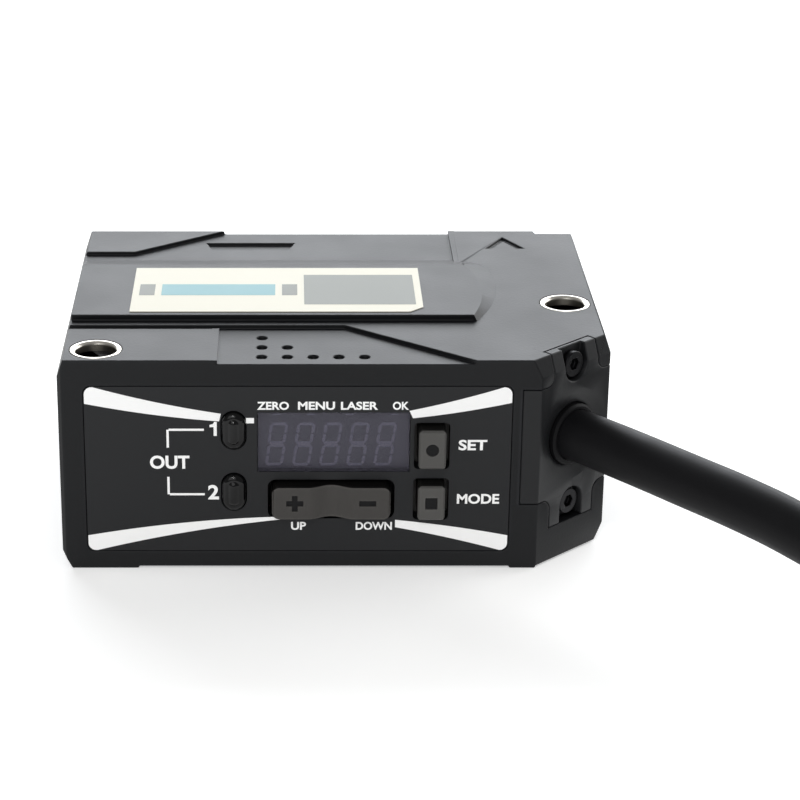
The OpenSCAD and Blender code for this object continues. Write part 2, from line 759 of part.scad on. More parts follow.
// Rocker key on its pivot pin, with two stems over its switches
module rocker_key() color("#4b4c50") in_body() translate([rocker_x, 0, lower_row_z]) {
    difference() {
        intersection() {
            through(-key_proud, rocker_back) round_rect(rocker_size[0], rocker_size[1], rocker_r);
            linear_extrude(rocker_size[1], center = true) polygon(concat(
                rocker_side, rocker_face, [for (i = [2 : -1 : 0]) [-rocker_side[i][0], rocker_side[i][1]]]));
        }
        for (x = [-rocker_arm, rocker_arm]) translate([x, 0, 0]) sunk_sign()
            square([sign_l, sign_w], center = true);
        translate([-rocker_arm, 0, 0]) sunk_sign() square([sign_w, sign_l], center = true);
    }
    for (x = [-rocker_arm, rocker_arm]) translate([x, 0, 0]) through(0, stem_end) circle(stem_r, $fn = 32);
    translate([0, pivot_y, 0]) {
        cylinder(r = hub_r, h = hub_h, center = true);
        cylinder(r = pivot_r, h = rocker_size[1] - 2 * pivot_end, center = true);
    }
    translate([-pivot_r, 0, -hub_h / 2]) cube([2 * pivot_r, pivot_y, hub_h]);
}

// One push key: a cap with cut edges and a sunk sign, a flange behind the wall and a stem over its switch
module push_key(z, h) in_body() translate([push_x, 0, z]) {
    difference() {
        intersection() {
            through(-key_proud, cap_back) round_rect(push_w, h, key_r);
            linear_extrude(2 * h, center = true) polygon(cap_profile(push_w));
            across(-push_w, push_w) polygon([for (p = cap_profile(h)) [p[1], p[0]]]);
        }
        sunk_sign() children();
    }
    through(front_t + flange_gap, front_t + flange_gap + flange_t)
        round_rect(push_w + 2 * flange_rim, h + 2 * flange_end, key_r);
    through(front_t, stem_end) circle(stem_r, $fn = 32);
}
function cap_profile(w) = [
    [-w / 2, cap_back], [-w / 2, key_edge - key_proud], [-w / 2 + key_edge, -key_proud],
    [w / 2 - key_edge, -key_proud], [w / 2, key_edge - key_proud], [w / 2, cap_back]];
module upper_key() color("#4b4c50") push_key(upper_key_z, upper_l) circle(dot_r);
module lower_key() color("#4b4c50") push_key(lower_row_z, lower_l) square(square_w, center = true);

// Yoke on the display board that carries the rocker's pin between two cheeks
yoke_gap = 0.1;
yoke_cheek = 0.8;
yoke_base = 0.8;
yoke_w = 3;
yoke_nose = 1.1;
pin_clearance = 0.05;
yoke_in = hub_h / 2 + yoke_gap;
yoke_out = yoke_in + yoke_cheek;
module rocker_yoke() color("#3f4044") in_body() translate([rocker_x, 0, lower_row_z]) difference() {
    across(-yoke_w / 2, yoke_w / 2) difference() {
        translate([pivot_y - yoke_nose, -yoke_out]) square([board_y - pivot_y + yoke_nose, 2 * yoke_out]);
        translate([0, -yoke_in]) square([board_y - yoke_base, 2 * yoke_in]);
    }
    translate([0, pivot_y, 0])
        cylinder(r = pivot_r + pin_clearance, h = 4 * yoke_out, center = true, $fn = 32);
}

// Board behind the front wall
module display_board() color("#1f5d3a") in_body() translate([board_x0, board_y, board_z0])
    cube([board_x1 - board_x0, board_t, board_z1 - board_z0]);

// Two-row digit display on the display board
digit_in = [0.3, 0.2];
digit_gap = 0.15;
digit_y = window_t + digit_gap;
module digit_display() color("#d8d8da") in_body()
    translate([window_x + digit_in[0], digit_y, window_z + digit_in[1]])
        cube([window_size[0] - 2 * digit_in[0], board_y - digit_y, window_size[1] - 2 * digit_in[1]]);

// Indicator lamps behind the lenses
lamp = [1.6, 0.8, 1.2];
module indicator_leds() color("#e9e6d8") in_body() for (z = lens_zs)
    translate([lens_x - lamp[0] / 2, board_y - lamp[1], z - lamp[2] / 2]) cube(lamp);

// Four tactile switches behind the keys
switch_spots = [[rocker_x - rocker_arm, lower_row_z], [rocker_x + rocker_arm, lower_row_z],
                [push_x, upper_key_z], [push_x, lower_row_z]];
module key_switches() color("#8d8f93") in_body() for (p = switch_spots) translate([p[0], 0, p[1]]) {
    through(board_y - switch_h, board_y) square(switch_w, center = true);
    through(board_y - switch_h - plunger_h, board_y - switch_h / 2) circle(plunger_r, $fn = 32);
}

// Main board that hangs under the ceiling
module main_board() color("#1f5d3a") in_body() translate([-main_x, main_y0, main_z0])
    cube([2 * main_x, main_y1 - main_y0, main_t]);

// Chips under the main board, each as [middle x, share of the board's depth, width, depth]
chip_h = 1.2;
chips = [[-4, 0.3, 9, 9], [9, 0.45, 6, 5], [-15, 0.2, 5, 4]];
module board_chips() color("#202124") in_body() for (c = chips)
    translate([c[0] - c[2] / 2, main_y0 + c[1] * (main_y1 - main_y0), main_z0 - chip_h])
        cube([c[2], c[3], chip_h]);

// Pin header between the display board and the main board
link_w = 12;
link_h = 2.4;
link_lap = 2.5;
module board_link() color("#26272a") in_body() translate([-link_w / 2, board_y + board_t, main_z0 - link_h])
    cube([link_w, main_gap + link_lap, link_h]);

// Cast base that holds the laser barrel, the receiver lens and the image sensor in line
module optical_base() color("#9a9da1") in_body() difference() {
    union() {
        translate([0, 0, plate_z0]) linear_extrude(plate_t) difference() {
            translate([plate_x0, plate_y0]) square([plate_x1 - plate_x0, plate_y1 - plate_y0]);
            columns(plate_clear);
            for (p = cover_posts) translate(p) circle(post_r + plate_clear);
        }
        translate([laser_x - barrel_d / 2 - cradle_rims[0], barrel_y0 + cradle_in, plate_z0])
            cube([barrel_d + cradle_rims[0] + cradle_rims[1], cradle_l, axis_z - plate_z0]);
        on_receiver_axis() {
            translate([-holder_w / 2, -holder_d / 2, plate_z0])
                cube([holder_w, holder_d, holder_z1 - plate_z0]);
            translate([-sensor_wall_w / 2, -sensor_back - sensor_wall_d, plate_z0])
                cube([sensor_wall_w, sensor_wall_d, holder_z1 - plate_z0]);
        }
    }
    translate([laser_x, 0, axis_z]) through(0, body_d) circle(barrel_d / 2 + fit);
    on_receiver_axis() translate([0, 0, axis_z]) {
        through(-holder_d, holder_d) circle(receiver_lens_d / 2 - lens_stop);
        through(lens_stop - holder_d / 2, holder_d) circle(receiver_lens_d / 2 + fit);
    }
}

// Turned barrel round the laser light, with seats for the diode and for the lens at its ends
module laser_barrel() color("#8c7a4a") in_body() translate([laser_x, 0, axis_z]) difference() {
    through(barrel_y0, barrel_y1) circle(barrel_d / 2);
    through(barrel_y0 - over, barrel_y1 + over) circle(barrel_bore_d / 2 - barrel_step);
    through(barrel_y1 - lens_seat_l, barrel_y1 + over) circle(barrel_bore_d / 2);
    through(barrel_y0 - over, barrel_y0 + diode_seat_l) circle(barrel_bore_d / 2);
}

// Laser diode can with its flange and leads
diode_flange_t = 1.2;
diode_can_l = 3.6;
diode_can_in = 1.1;
diode_lead_r = 0.25;
diode_lead_ring = 1;
diode_lead_turns = [90, 210, 330];
module laser_diode() color("#c9a85a") in_body() translate([laser_x, 0, axis_z]) {
    through(barrel_y0, barrel_y0 + diode_flange_t) circle(barrel_bore_d / 2 - fit);
    through(barrel_y0 + diode_flange_t / 2, barrel_y0 + diode_can_l) circle(barrel_bore_d / 2 - diode_can_in);
    for (turn = diode_lead_turns) rotate([0, turn, 0]) translate([diode_lead_ring, 0, 0])
        through(barrel_y0 - diode_lead_l, barrel_y0 + diode_flange_t / 2) circle(diode_lead_r, $fn = 16);
}

// Lens blank with two domed faces on a cylinder edge, its axis along y
module lens_blank(r, edge, dome) rotate([90, 0, 0]) intersection() {
    cylinder(r = r, h = edge + 2 * dome, center = true);
    for (s = [-1, 1]) translate([0, 0, s * ((r * r + dome * dome) / (2 * dome) - dome - edge / 2)])
        sphere((r * r + dome * dome) / (2 * dome), $fn = 96);
}

// Lens that makes the laser light parallel
collimator_edge = 1.2;
collimator_dome = 0.7;
module collimator_lens() color("#bcd3d8") in_body()
    translate([laser_x, barrel_y1 - lens_seat_l + collimator_edge / 2 + collimator_dome + fit, axis_z])
        lens_blank(barrel_bore_d / 2 - fit, collimator_edge, collimator_dome);

// Lens that images the light spot on the sensor
receiver_edge = 1;
receiver_dome = 0.9;
receiver_lens_set = 0.5;
module receiver_lens() color("#bcd3d8") in_body() on_receiver_axis() translate([0, receiver_lens_set, axis_z])
    lens_blank(receiver_lens_d / 2 - fit, receiver_edge, receiver_dome);

// Small board on the sensor wall
module sensor_board() color("#1f5d3a") in_body() on_receiver_axis()
    translate([-sensor_wall_w / 2, -sensor_back, plate_z1 + sensor_board_in[0]])
        cube([sensor_wall_w, sensor_board_t, holder_z1 - plate_z1 - sensor_board_in[0] - sensor_board_in[1]]);

// Line image sensor that faces the receiver lens
module image_sensor() color("#44506a") in_body() on_receiver_axis()
    translate([-sensor_chip[0] / 2, sensor_board_t - sensor_back, axis_z - sensor_chip[2] / 2])
        cube(sensor_chip);

// One glass pane in the back wall
module window_pane(x, w, h) in_body() translate([x, 0, axis_z])
    through(body_d - glass_t - pane_set, body_d - pane_set) round_rect(w, h, pane_r);
module emitter_window() color("#5a3a44") window_pane(laser_x, emitter_w, emitter_w);
module receiver_window() color("#3a2a33") window_pane(receiver_x, receiver_w, receiver_h);

// One metal bush: a collar on a shank, with a chamfered bore
bush_chamfer = 0.3;
module mount_bush(x, y) in_body() translate([x, y, 0]) rotate_extrude() polygon([
    [bore_d / 2, bush_chamfer], [bore_d / 2 + bush_chamfer, 0], [shank_d / 2, 0],
    [shank_d / 2, body_h - collar_h], [collar_d / 2, body_h - collar_h], [collar_d / 2, body_h],
    [bore_d / 2 + bush_chamfer, body_h], [bore_d / 2, body_h - bush_chamfer]]);
module front_bush() color("#cfcac0") mount_bush(-bush_x, front_bush_y);
module rear_bush() color("#cfcac0") mount_bush(bush_x, rear_bush_y);

// Moulded block round the cable, flush with the cut corner and lapped onto both faces beside it
module cable_block() color("#333437") in_body() difference() {
    intersection() {
        envelope();
        block_prism(0, block_t);
    }
    at_corner() for (side = [-1, 1]) screw_pocket(side);
    at_block_screws() cylinder(r = screw_r + fit, h = block_t + over, $fn = 32);
    on_cable_axis() {
        translate([0, 0, -over]) cylinder(r = bush_r + fit, h = block_t + 2 * over);
        translate([0, 0, dish_t - dish_ball]) sphere(dish_ball, $fn = 96);
    }
}
dish_ball = (dish_r * dish_r + dish_t * dish_t) / (2 * dish_t);

// Flat seal between the cable block and the case
gasket_in = 0.3;
gasket_end = 2;
module block_gasket() color("#1d1d1f") in_body() difference() {
    at_corner() translate([0, 0, cable_z]) through(block_t, block_t + gasket_t)
        square([tab_w - 2 * gasket_in, 2 * (block_screw_z + gasket_end)], center = true);
    at_block_screws() cylinder(r = screw_r + fit, h = corner_t, $fn = 32);
    on_cable_axis() cylinder(r = cable_hole_r + cable_slack, h = corner_t);
}

// Rubber bush round the cable, with a lip in front of the block
module cable_bush() color("#1b1b1d") in_body() on_cable_axis() rotate_extrude() polygon([
    [cable_hole_r, -bush_lip], [bush_r - bush_edge, -bush_lip], [bush_r, bush_edge - bush_lip],
    [bush_r, block_t], [cable_hole_r, block_t]]);

// Ring clamped on the cable behind the inner wall
module cable_clip() color("#8f9296") in_body() on_cable_axis() translate([0, 0, corner_t + fit])
    difference() {
        cylinder(r = clip_r, h = clip_l);
        translate([0, 0, -over]) cylinder(r = cable_hole_r, h = clip_l + 2 * over);
    }

// Two socket screws that hold the cable block
module block_screws() color("#2a2a2c") in_body() at_block_screws() difference() {
    union() {
        translate([0, 0, pocket_t - screw_head_h]) cylinder(r = screw_head_r, h = screw_head_h, $fn = 32);
        translate([0, 0, pocket_t - screw_head_h / 2])
            cylinder(r = screw_r, h = screw_l + screw_head_h / 2, $fn = 32);
    }
    translate([0, 0, pocket_t - screw_head_h - over]) cylinder(r = socket_r, h = over + socket_deep, $fn = 6);
}

// Printed label on the pad, with one corner cut off
label_t = 0.1;
label_cut = 1.6;
label_x = -half_w + label_in;
label_behind = 0.9;
label_y = pad_front + label_behind;
module label() color("#f1efe2") in_body() translate([label_x, label_y, pad_z]) linear_extrude(label_t)
    polygon([[0, 0], [label_w - label_cut, 0], [label_w, label_cut], [label_w, label_d], [0, label_d]]);

// Point of the cable route in the body's frame
function route_point(p) = [
    corner_mid[0] + p[0] * sin(corner_turn) + p[1] * cos(corner_turn),
    corner_mid[1] - p[0] * cos(corner_turn) + p[1] * sin(corner_turn) + front_y, p[2]];

// Round tube swept along a route
function unit(v) = v / norm(v);
function route_ring(points, i, r) = let(
    last = len(points) - 1,
    along = unit(points[min(i + 1, last)] - points[max(i - 1, 0)]),
    side = unit(cross(along, [0, 0, 1])),
    lift = cross(side, along))
    [for (k = [0 : cable_sides - 1]) points[i]
        + r * (cos(360 * k / cable_sides) * side + sin(360 * k / cable_sides) * lift)];
module tube(route) {
    points = [for (p = route) route_point(p)];
    rings = len(points);
    polyhedron([for (i = [0 : rings - 1]) each route_ring(points, i, cable_d / 2)], concat(
        [[for (k = [cable_sides - 1 : -1 : 0]) k]],
        [for (i = [0 : rings - 2], k = [0 : cable_sides - 1])
            let(next = (k + 1) % cable_sides, low = i * cable_sides, high = low + cable_sides)
            [low + k, low + next, high + next, high + k]],
        [[for (k = [0 : cable_sides - 1]) (rings - 1) * cable_sides + k]]));
}
module cable_lead() color("#1c1c1e") tube(lead_route);
module cable_tail() color("#1c1c1e") tube(tail_route);

// Outer form of the coiled length
module at_coil() translate(route_point([coil_mid[0], coil_mid[1], 0])) children();
coil_band = [cable_d + coil_step, cable_d + coil_rise];
band_mid = [coil_r - coil_step / 2, coil_z + coil_rise / 2];
module cable_coil() color("#1c1c1e") at_coil() rotate_extrude() translate(band_mid)
    round_rect(coil_band[0], coil_band[1], cable_d / 2);

// Band round the turns of the coil
module coil_tie() color("#101011") at_coil() rotate([0, 0, corner_turn + tie_turn])
    through(-tie_w / 2, tie_w / 2) translate(band_mid) difference() {
        square(coil_band + 2 * [tie_t + tie_gap, tie_t], center = true);
        square(coil_band + 2 * [tie_gap, fit], center = true);
    }

// Places a piece on the connector's axis: z runs from the cable to the pins
module at_connector() translate(route_point([connector_at[0], connector_at[1], connector_z]))
    rotate([0, 0, corner_turn + 90]) rotate([0, 90, 0]) children();

// Moulded grip of the connector, with finger grooves at its middle and a neck for the ring
grip_r = 6.3;
grip_edge = 0.4;
sleeve_wall = 0.9;
sleeve_r = cable_d / 2 + sleeve_wall;
taper_z = [1, 11, 13];
grip_profile = [[0, 0], [sleeve_r, 0], [sleeve_r + grip_edge, taper_z[0]], [grip_r - grip_edge, taper_z[1]],
                [grip_r, taper_z[2]], [grip_r, grip_l - 2 * grip_edge], [grip_r - grip_edge, grip_l],
                [neck_r, grip_l], [neck_r, grip_l + knurl_l], [0, grip_l + knurl_l]];
groove_count = 5;
groove_z = 14;
groove_pitch = 2;
groove_l = 1;
groove_deep = 0.3;
module connector_grip() color("#222225") at_connector() difference() {
    rotate_extrude() polygon(grip_profile);
    for (i = [0 : groove_count - 1]) translate([0, 0, groove_z + groove_pitch * i])
        rotate_extrude() translate([grip_r - groove_deep, 0]) square([over, groove_l]);
}

// Insert that carries the contact pins
module connector_insert() color("#17171a") at_connector() translate([0, 0, grip_l + knurl_l]) difference() {
    cylinder(r = neck_r - insert_in, h = insert_l);
    translate([0, neck_r - insert_in, key_slot_z]) cylinder(r = key_slot_r, h = insert_l, $fn = 24);
}

// Four gold contact pins
module connector_pins() color("#d6b24c") at_connector() for (a = [45 : 90 : 315]) rotate([0, 0, a])
    translate([pin_ring_r, 0, grip_l + knurl_l + insert_l]) cylinder(r = pin_r, h = pin_l, $fn = 24);

// Coupling ring that turns on the grip's neck, knurled behind its screw thread
flute_count = 24;
flute_r = 0.55;
flute_out = 0.15;
knurl_end = 1;
module connector_ring() color("#b8bbbf") at_connector() translate([0, 0, grip_l + ring_gap]) difference() {
    union() {
        cylinder(d = ring_d, h = knurl_l);
        cylinder(r = thread_r, h = knurl_l + thread_l);
    }
    translate([0, 0, -over]) cylinder(r = ring_bore_r, h = knurl_l + thread_l + 2 * over);
    for (i = [0 : flute_count - 1]) rotate([0, 0, 360 * (i + 0.5) / flute_count])
        translate([ring_d / 2 + flute_out, 0, -over])
            cylinder(r = flute_r, h = knurl_l - knurl_end + over, $fn = 16);
}

main_case();
base_cover();
cover_screws();
panel_sheet();
display_window();
indicator_lens_upper();
indicator_lens_lower();
rocker_key();
upper_key();
lower_key();
rocker_yoke();
display_board();
digit_display();
indicator_leds();
key_switches();
main_board();
board_chips();
board_link();
optical_base();
laser_barrel();
laser_diode();
collimator_lens();
receiver_lens();
sensor_board();
image_sensor();
emitter_window();
receiver_window();
front_bush();
rear_bush();
cable_block();
block_gasket();
cable_bush();
cable_clip();
block_screws();
label();
cable_lead();
cable_coil();
cable_tail();
coil_tie();
connector_grip();
connector_insert();
connector_pins();
connector_ring();
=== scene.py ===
"""Looks of a laser displacement sensor: finishes, printing, display digits, cable and a plain stage."""

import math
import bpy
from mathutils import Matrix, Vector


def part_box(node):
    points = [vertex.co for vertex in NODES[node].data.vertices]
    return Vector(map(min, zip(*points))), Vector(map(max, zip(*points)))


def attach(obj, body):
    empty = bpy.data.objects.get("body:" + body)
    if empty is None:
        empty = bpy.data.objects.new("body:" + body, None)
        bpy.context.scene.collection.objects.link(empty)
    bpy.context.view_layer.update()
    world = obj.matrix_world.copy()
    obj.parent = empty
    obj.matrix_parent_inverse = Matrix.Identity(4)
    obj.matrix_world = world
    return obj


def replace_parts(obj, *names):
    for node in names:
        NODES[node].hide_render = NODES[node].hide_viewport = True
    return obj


bl_info = {
    "name": "Laser displacement sensor",
    "version": (1, 0, 0),
    "blender": (4, 5, 0),
    "location": "View3D > Sidebar > Sensor",
    "description": "Dresses the solids of a laser displacement sensor and sets a plain stage",
    "category": "Object",
}

import bmesh
import bpy
from bpy.props import FloatProperty, FloatVectorProperty, PointerProperty
from mathutils import Vector

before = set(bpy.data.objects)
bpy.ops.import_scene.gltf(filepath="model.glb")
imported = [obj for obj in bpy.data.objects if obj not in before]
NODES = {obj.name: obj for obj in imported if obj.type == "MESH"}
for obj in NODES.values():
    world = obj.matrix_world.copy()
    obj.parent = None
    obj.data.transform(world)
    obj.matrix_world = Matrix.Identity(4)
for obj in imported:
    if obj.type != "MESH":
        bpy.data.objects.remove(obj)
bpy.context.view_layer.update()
MM = 0.001
# Corners closer than this, in metres, are one corner of a welded solid
SAME_CORNER = 1e-6
# Faces that meet at less than this angle are one flat face of a solid
FLAT_BELOW = math.radians(0.5)
# Faces that meet at less than this angle look like one curved face
SMOOTH_BELOW = math.radians(25)
# Width in millimetres of the strip beside an edge that handling rubs
RUBBED_WIDTH = 0.35
# How dark the painted shade in a bore is, and the width in millimetres over which it fades at its mouth
BORE_PAINTED_SHADE, BORE_SHADE_FADE = 0.3, 0.15

# Case in millimetres: the height of its top, how far the slope along its edge goes in and down, and how much
# the cut corner takes off its front and its side
CASE_TOP, SLOPE_IN, SLOPE_DOWN = 25.4, 0.7, 2.1
CORNER_CUT = (8.5, 8.0)
# How far a covering face stands above the face that it covers, in millimetres
LIFT = 0.004
# Upper tab of the cable block in millimetres: its thickness, the gap to the case's lip behind it, how far in
# the lip reaches, half the width of both, and the heights of the tab's foot and of the lip's foot
TAB_THICK, TAB_GAP, LIP_BACK, TAB_HALF = 1.75, 0.12, 3.3, 3.95
TAB_FOOT, LIP_FOOT = 22.1, 22.2
# Depth of the sunk signs on the keys in millimetres
SIGN_DEPTH = 0.15

# Places that come from the frame
CASE_LOW, CASE_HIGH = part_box("main_case")
SHEET_LOW, SHEET_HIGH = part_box("panel_sheet")
DIGITS_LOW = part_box("digit_display")[0]
LABEL_LOW, LABEL_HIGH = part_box("label")
UPPER_LENS_LOW, UPPER_LENS_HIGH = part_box("indicator_lens_upper")


def hex_colour(code):
    """Linear red, green and blue of an sRGB hex value."""
    shares = [int(code[i:i + 2], 16) / 255 for i in (1, 3, 5)]
    return [v / 12.92 if v <= 0.04045 else ((v + 0.055) / 1.055) ** 2.4 for v in shares]


def size_prop(name, description, millimetres):
    """Length that a user can change."""
    return FloatProperty(name=name, description=description, default=millimetres * MM, min=0.0,
                         precision=5, unit="LENGTH")


def colour_prop(name, description, code):
    """Colour that a user can change, from an sRGB hex value."""
    return FloatVectorProperty(name=name, description=description, default=hex_colour(code), size=3,
                               min=0.0, max=1.0, subtype="COLOR")


class SENSOR_PG_sizes(bpy.types.PropertyGroup):
    """Sizes of the details that the looks add to the solids"""

    case_edge: size_prop("Case edge", "Rounding of the moulded edges of the case", 0.15)
    key_edge: size_prop("Key edge", "Rounding of the edges of the keys", 0.07)
    ink: size_prop("Ink", "Thickness of the printed ink", 0.02)
    bracket: size_prop("Bracket line", "Width of the lines beside the output numbers", 0.26)
    digit_width: size_prop("Digit width", "Width of one digit", 2.03)
    digit_height: size_prop("Digit height", "Height of one digit", 2.62)
    digit_pitch: size_prop("Digit pitch", "Distance from one digit to the next", 3.05)
    row_pitch: size_prop("Row pitch", "Distance from the lower row of digits to the upper row", 2.62)
    segment: size_prop("Segment", "Width of a digit's segments", 0.34)
    digit_slant: FloatProperty(name="Digit slant", description="Lean of the digits to the right",
                               default=math.radians(9), subtype="ANGLE")
    cable: size_prop("Cable", "Diameter of the cable", 6.0)


class SENSOR_PG_colours(bpy.types.PropertyGroup):
    """Colours of the finishes"""

    case: colour_prop("Case", "Moulded case", "#131416")
    block: colour_prop("Cable block", "Moulded block round the cable", "#151618")
    panel: colour_prop("Panel", "Printed panel sheet", "#1b1c1e")
    ink: colour_prop("Ink", "White print on the panel", "#fdfdfc")
    window: colour_prop("Display window", "Smoked window over the digits", "#4a4855")
    film: colour_prop("Display film", "Tinted film behind the digits", "#4a4855")
    digit: colour_prop("Digits", "Unlit segments of the digits", "#747286")
    lens: colour_prop("Indicator lens", "Dark lenses", "#050506")
    key: colour_prop("Keys", "Moulded keys", "#504f4d")
    rocker: colour_prop("Rocker", "Moulded rocker", "#413f3d")
    label: colour_prop("Label", "Label film", "#e5e2d3")
    label_grey: colour_prop("Label grey", "Grey fields of the label", "#8a8d88")
    label_teal: colour_prop("Label teal", "Teal fields of the label", "#86b3b9")
    cable: colour_prop("Cable", "Sheath of the cable", "#0f0f11")
    floor: colour_prop("Floor", "Floor under the sensor", "#f6f6f5")


def settings(context):
    """Sizes and colours that the scene holds."""
    return context.scene.sensor_sizes, context.scene.sensor_colours


def per_mm(size):
    """Texture scale of a pattern of that size in millimetres."""
    return 1.0 / (size * MM)


def add(tree, kind, values=None, links=None):
    """Adds a node, sets its sockets or attributes by name, and links other sockets into it."""
    node = tree.nodes.new(kind)
    for key, value in (values or {}).items():
        if key in node.inputs:
            node.inputs[key].default_value = value
        else:
            setattr(node, key, value)
    for key, socket in (links or {}).items():
        tree.links.new(socket, node.inputs[key])
    return node


def surface(name, colour, roughness, grain, depth, patch=9.0, tone=0.1, gloss=0.05, wear=0.0, **sockets):
    """Finish with a grain in its bump, and with tone and gloss that drift over wider patches.

    colour is linear or an sRGB hex value. grain, depth and patch are in millimetres, and wear is how much
    lighter the rubbed outer edges are. sockets are set on the shader, with _ for a space."""
    material = bpy.data.materials.new(name)
    material.use_nodes = True
    tree = material.node_tree
    shader = tree.nodes["Principled BSDF"]
    for key, value in sockets.items():
        shader.inputs[key.replace("_", " ")].default_value = value
    place = add(tree, "ShaderNodeTexCoord").outputs["Object"]
    drift = add(tree, "ShaderNodeTexNoise", {"Scale": per_mm(patch), "Detail": 4.0}, {"Vector": place})
    grains = add(tree, "ShaderNodeTexNoise", {"Scale": per_mm(grain), "Detail": 2.0}, {"Vector": place})
    drift, grains = drift.outputs["Fac"], grains.outputs["Fac"]
    shade = add(tree, "ShaderNodeMapRange", {"To Min": 1.0 - tone, "To Max": 1.0 + tone}, {"Value": drift})
    shade = shade.outputs["Result"]
    if wear:
        # Rays into the solid meet a near face only beside an outer edge
        inward = add(tree, "ShaderNodeAmbientOcclusion",
                     {"inside": True, "only_local": True, "samples": 4, "Distance": RUBBED_WIDTH * MM})
        rubbed = add(tree, "ShaderNodeMapRange", {"From Min": 0.9, "From Max": 0.5, "To Max": wear},
                     {"Value": inward.outputs["AO"]})
        patchy = add(tree, "ShaderNodeMath", {"operation": "MULTIPLY"},
                     {0: rubbed.outputs["Result"], 1: drift})
        shade = add(tree, "ShaderNodeMath", {}, {0: shade, 1: patchy.outputs["Value"]}).outputs["Value"]
    linear = hex_colour(colour) if isinstance(colour, str) else colour
    tint = add(tree, "ShaderNodeHueSaturation", {"Color": (*linear, 1.0)}, {"Value": shade})
    rough = add(tree, "ShaderNodeMapRange",
                {"To Min": max(roughness - gloss, 0.0), "To Max": roughness + gloss}, {"Value": drift})
    bump = add(tree, "ShaderNodeBump", {"Distance": depth * MM}, {"Height": grains})
    tree.links.new(tint.outputs["Color"], shader.inputs["Base Color"])
    tree.links.new(rough.outputs["Result"], shader.inputs["Roughness"])
    tree.links.new(bump.outputs["Normal"], shader.inputs["Normal"])
    return material


def multiply_shade(tree, socket):
    """Makes a finish darker or lighter by a value from its nodes."""
    tint = next(node for node in tree.nodes if node.type == "HUE_SAT")
    shade = add(tree, "ShaderNodeMath", {"operation": "MULTIPLY"},
                {0: tint.inputs["Value"].links[0].from_socket, 1: socket})
    tree.links.new(shade.outputs["Value"], tint.inputs["Value"])


def turned_metal(name, colour, roughness, axis, pitch, bore):
    """Bare metal with fine rings from the lathe about an upright axis, and painted shade in its bore.

    axis, pitch and the bore's radius are in millimetres."""
    material = surface(name, colour, roughness, 0.3, 0.002, tone=0.05, Metallic=1.0)
    tree = material.node_tree
    bump, place = (next(node for node in tree.nodes if node.type == kind) for kind in ("BUMP", "TEX_COORD"))
    centred = add(tree, "ShaderNodeMapping",
                  {"Location": (-axis[0] * MM, -axis[1] * MM, 0.0), "Scale": (1.0, 1.0, 0.0)},
                  {"Vector": place.outputs["Object"]}).outputs["Vector"]
    # The wave node draws 20 / (2 pi) rings for each unit of scale
    waves = {"wave_type": "RINGS", "rings_direction": "Z", "Scale": per_mm(pitch) * 2 * math.pi / 20,
             "Distortion": 0.6}
    rings = add(tree, "ShaderNodeTexWave", waves, {"Vector": centred})
    tree.links.new(rings.outputs["Fac"], bump.inputs["Height"])
    # Painted shade inside the bore, fading out over its mouth
    radius = add(tree, "ShaderNodeVectorMath", {"operation": "LENGTH"}, {0: centred})
    painted_bore_shade = add(tree, "ShaderNodeMapRange",
                {"From Min": bore * MM, "From Max": (bore + BORE_SHADE_FADE) * MM, "To Min": BORE_PAINTED_SHADE},
                {"Value": radius.outputs["Value"]})
    multiply_shade(tree, painted_bore_shade.outputs["Result"])
    return material


def dress(material, *pieces):
    """Gives pieces or named CAD nodes a finish."""
    for piece in pieces:
        mesh = (NODES[piece] if isinstance(piece, str) else piece).data
        mesh.materials.clear()
        mesh.materials.append(material)


def add_object(name, data):
    """Object in the scene."""
    thing = bpy.data.objects.new(name, data)
    bpy.context.scene.collection.objects.link(thing)
    return thing


def made_mesh(thing):
    """Mesh of an object as its font or its modifiers make it."""
    bpy.context.view_layer.update()
    return bpy.data.meshes.new_from_object(thing.evaluated_get(bpy.context.evaluated_depsgraph_get()))


def rectangle(left, low, right, high):
    """Outline that turns counter-clockwise."""
    return [(left, low), (right, low), (right, high), (left, high)]


def slab(outline, thickness):
    """Points and faces of a flat plate over an outline that turns counter-clockwise."""
    count = len(outline)
    points = [(u, v, w) for w in (0.0, thickness) for u, v in outline]
    faces = [list(range(count - 1, -1, -1)), list(range(count, 2 * count))]
    faces += [[i, (i + 1) % count, count + (i + 1) % count, count + i] for i in range(count)]
    return points, faces


def sweep(sections):
    """Points and faces of a closed solid through rings of points, with a face over each end."""
    count = len(sections[0])
    points = [point for section in sections for point in section]
    faces = [list(range(count)), list(range(len(points) - count, len(points)))]
    for start in range(0, len(points) - count, count):
        faces += [[start + i, start + (i + 1) % count, start + count + (i + 1) % count, start + count + i]
                  for i in range(count)]
    return points, faces


def joined_mesh(name, shapes, smooth=False):
    """One mesh from the points and faces of several closed shapes."""
    mesh = bpy.data.meshes.new(name)
    points, faces = [], []
    for shape_points, shape_faces in shapes:
        start = len(points)
        points += shape_points
        faces += [[start + i for i in face] for face in shape_faces]
    mesh.from_pydata(points, [], faces)
    work = bmesh.new()
    work.from_mesh(mesh)
    bmesh.ops.recalc_face_normals(work, faces=work.faces)
    for face in work.faces:
        face.smooth = smooth
    for edge in work.edges:
        edge.smooth = edge.calc_face_angle(0.0) < SMOOTH_BELOW
    work.to_mesh(mesh)
    work.free()
    return mesh


def relief(name, shapes, place, material, body="housing", smooth=False):
    """One mesh piece from several shapes, each put in place and joined, that rides on a body."""
    placed = [([place(*point) for point in points], faces) for points, faces in shapes]
    mesh = joined_mesh(name, placed, smooth)
    mesh.materials.append(material)
    piece = add_object(name, mesh)
    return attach(piece, body)


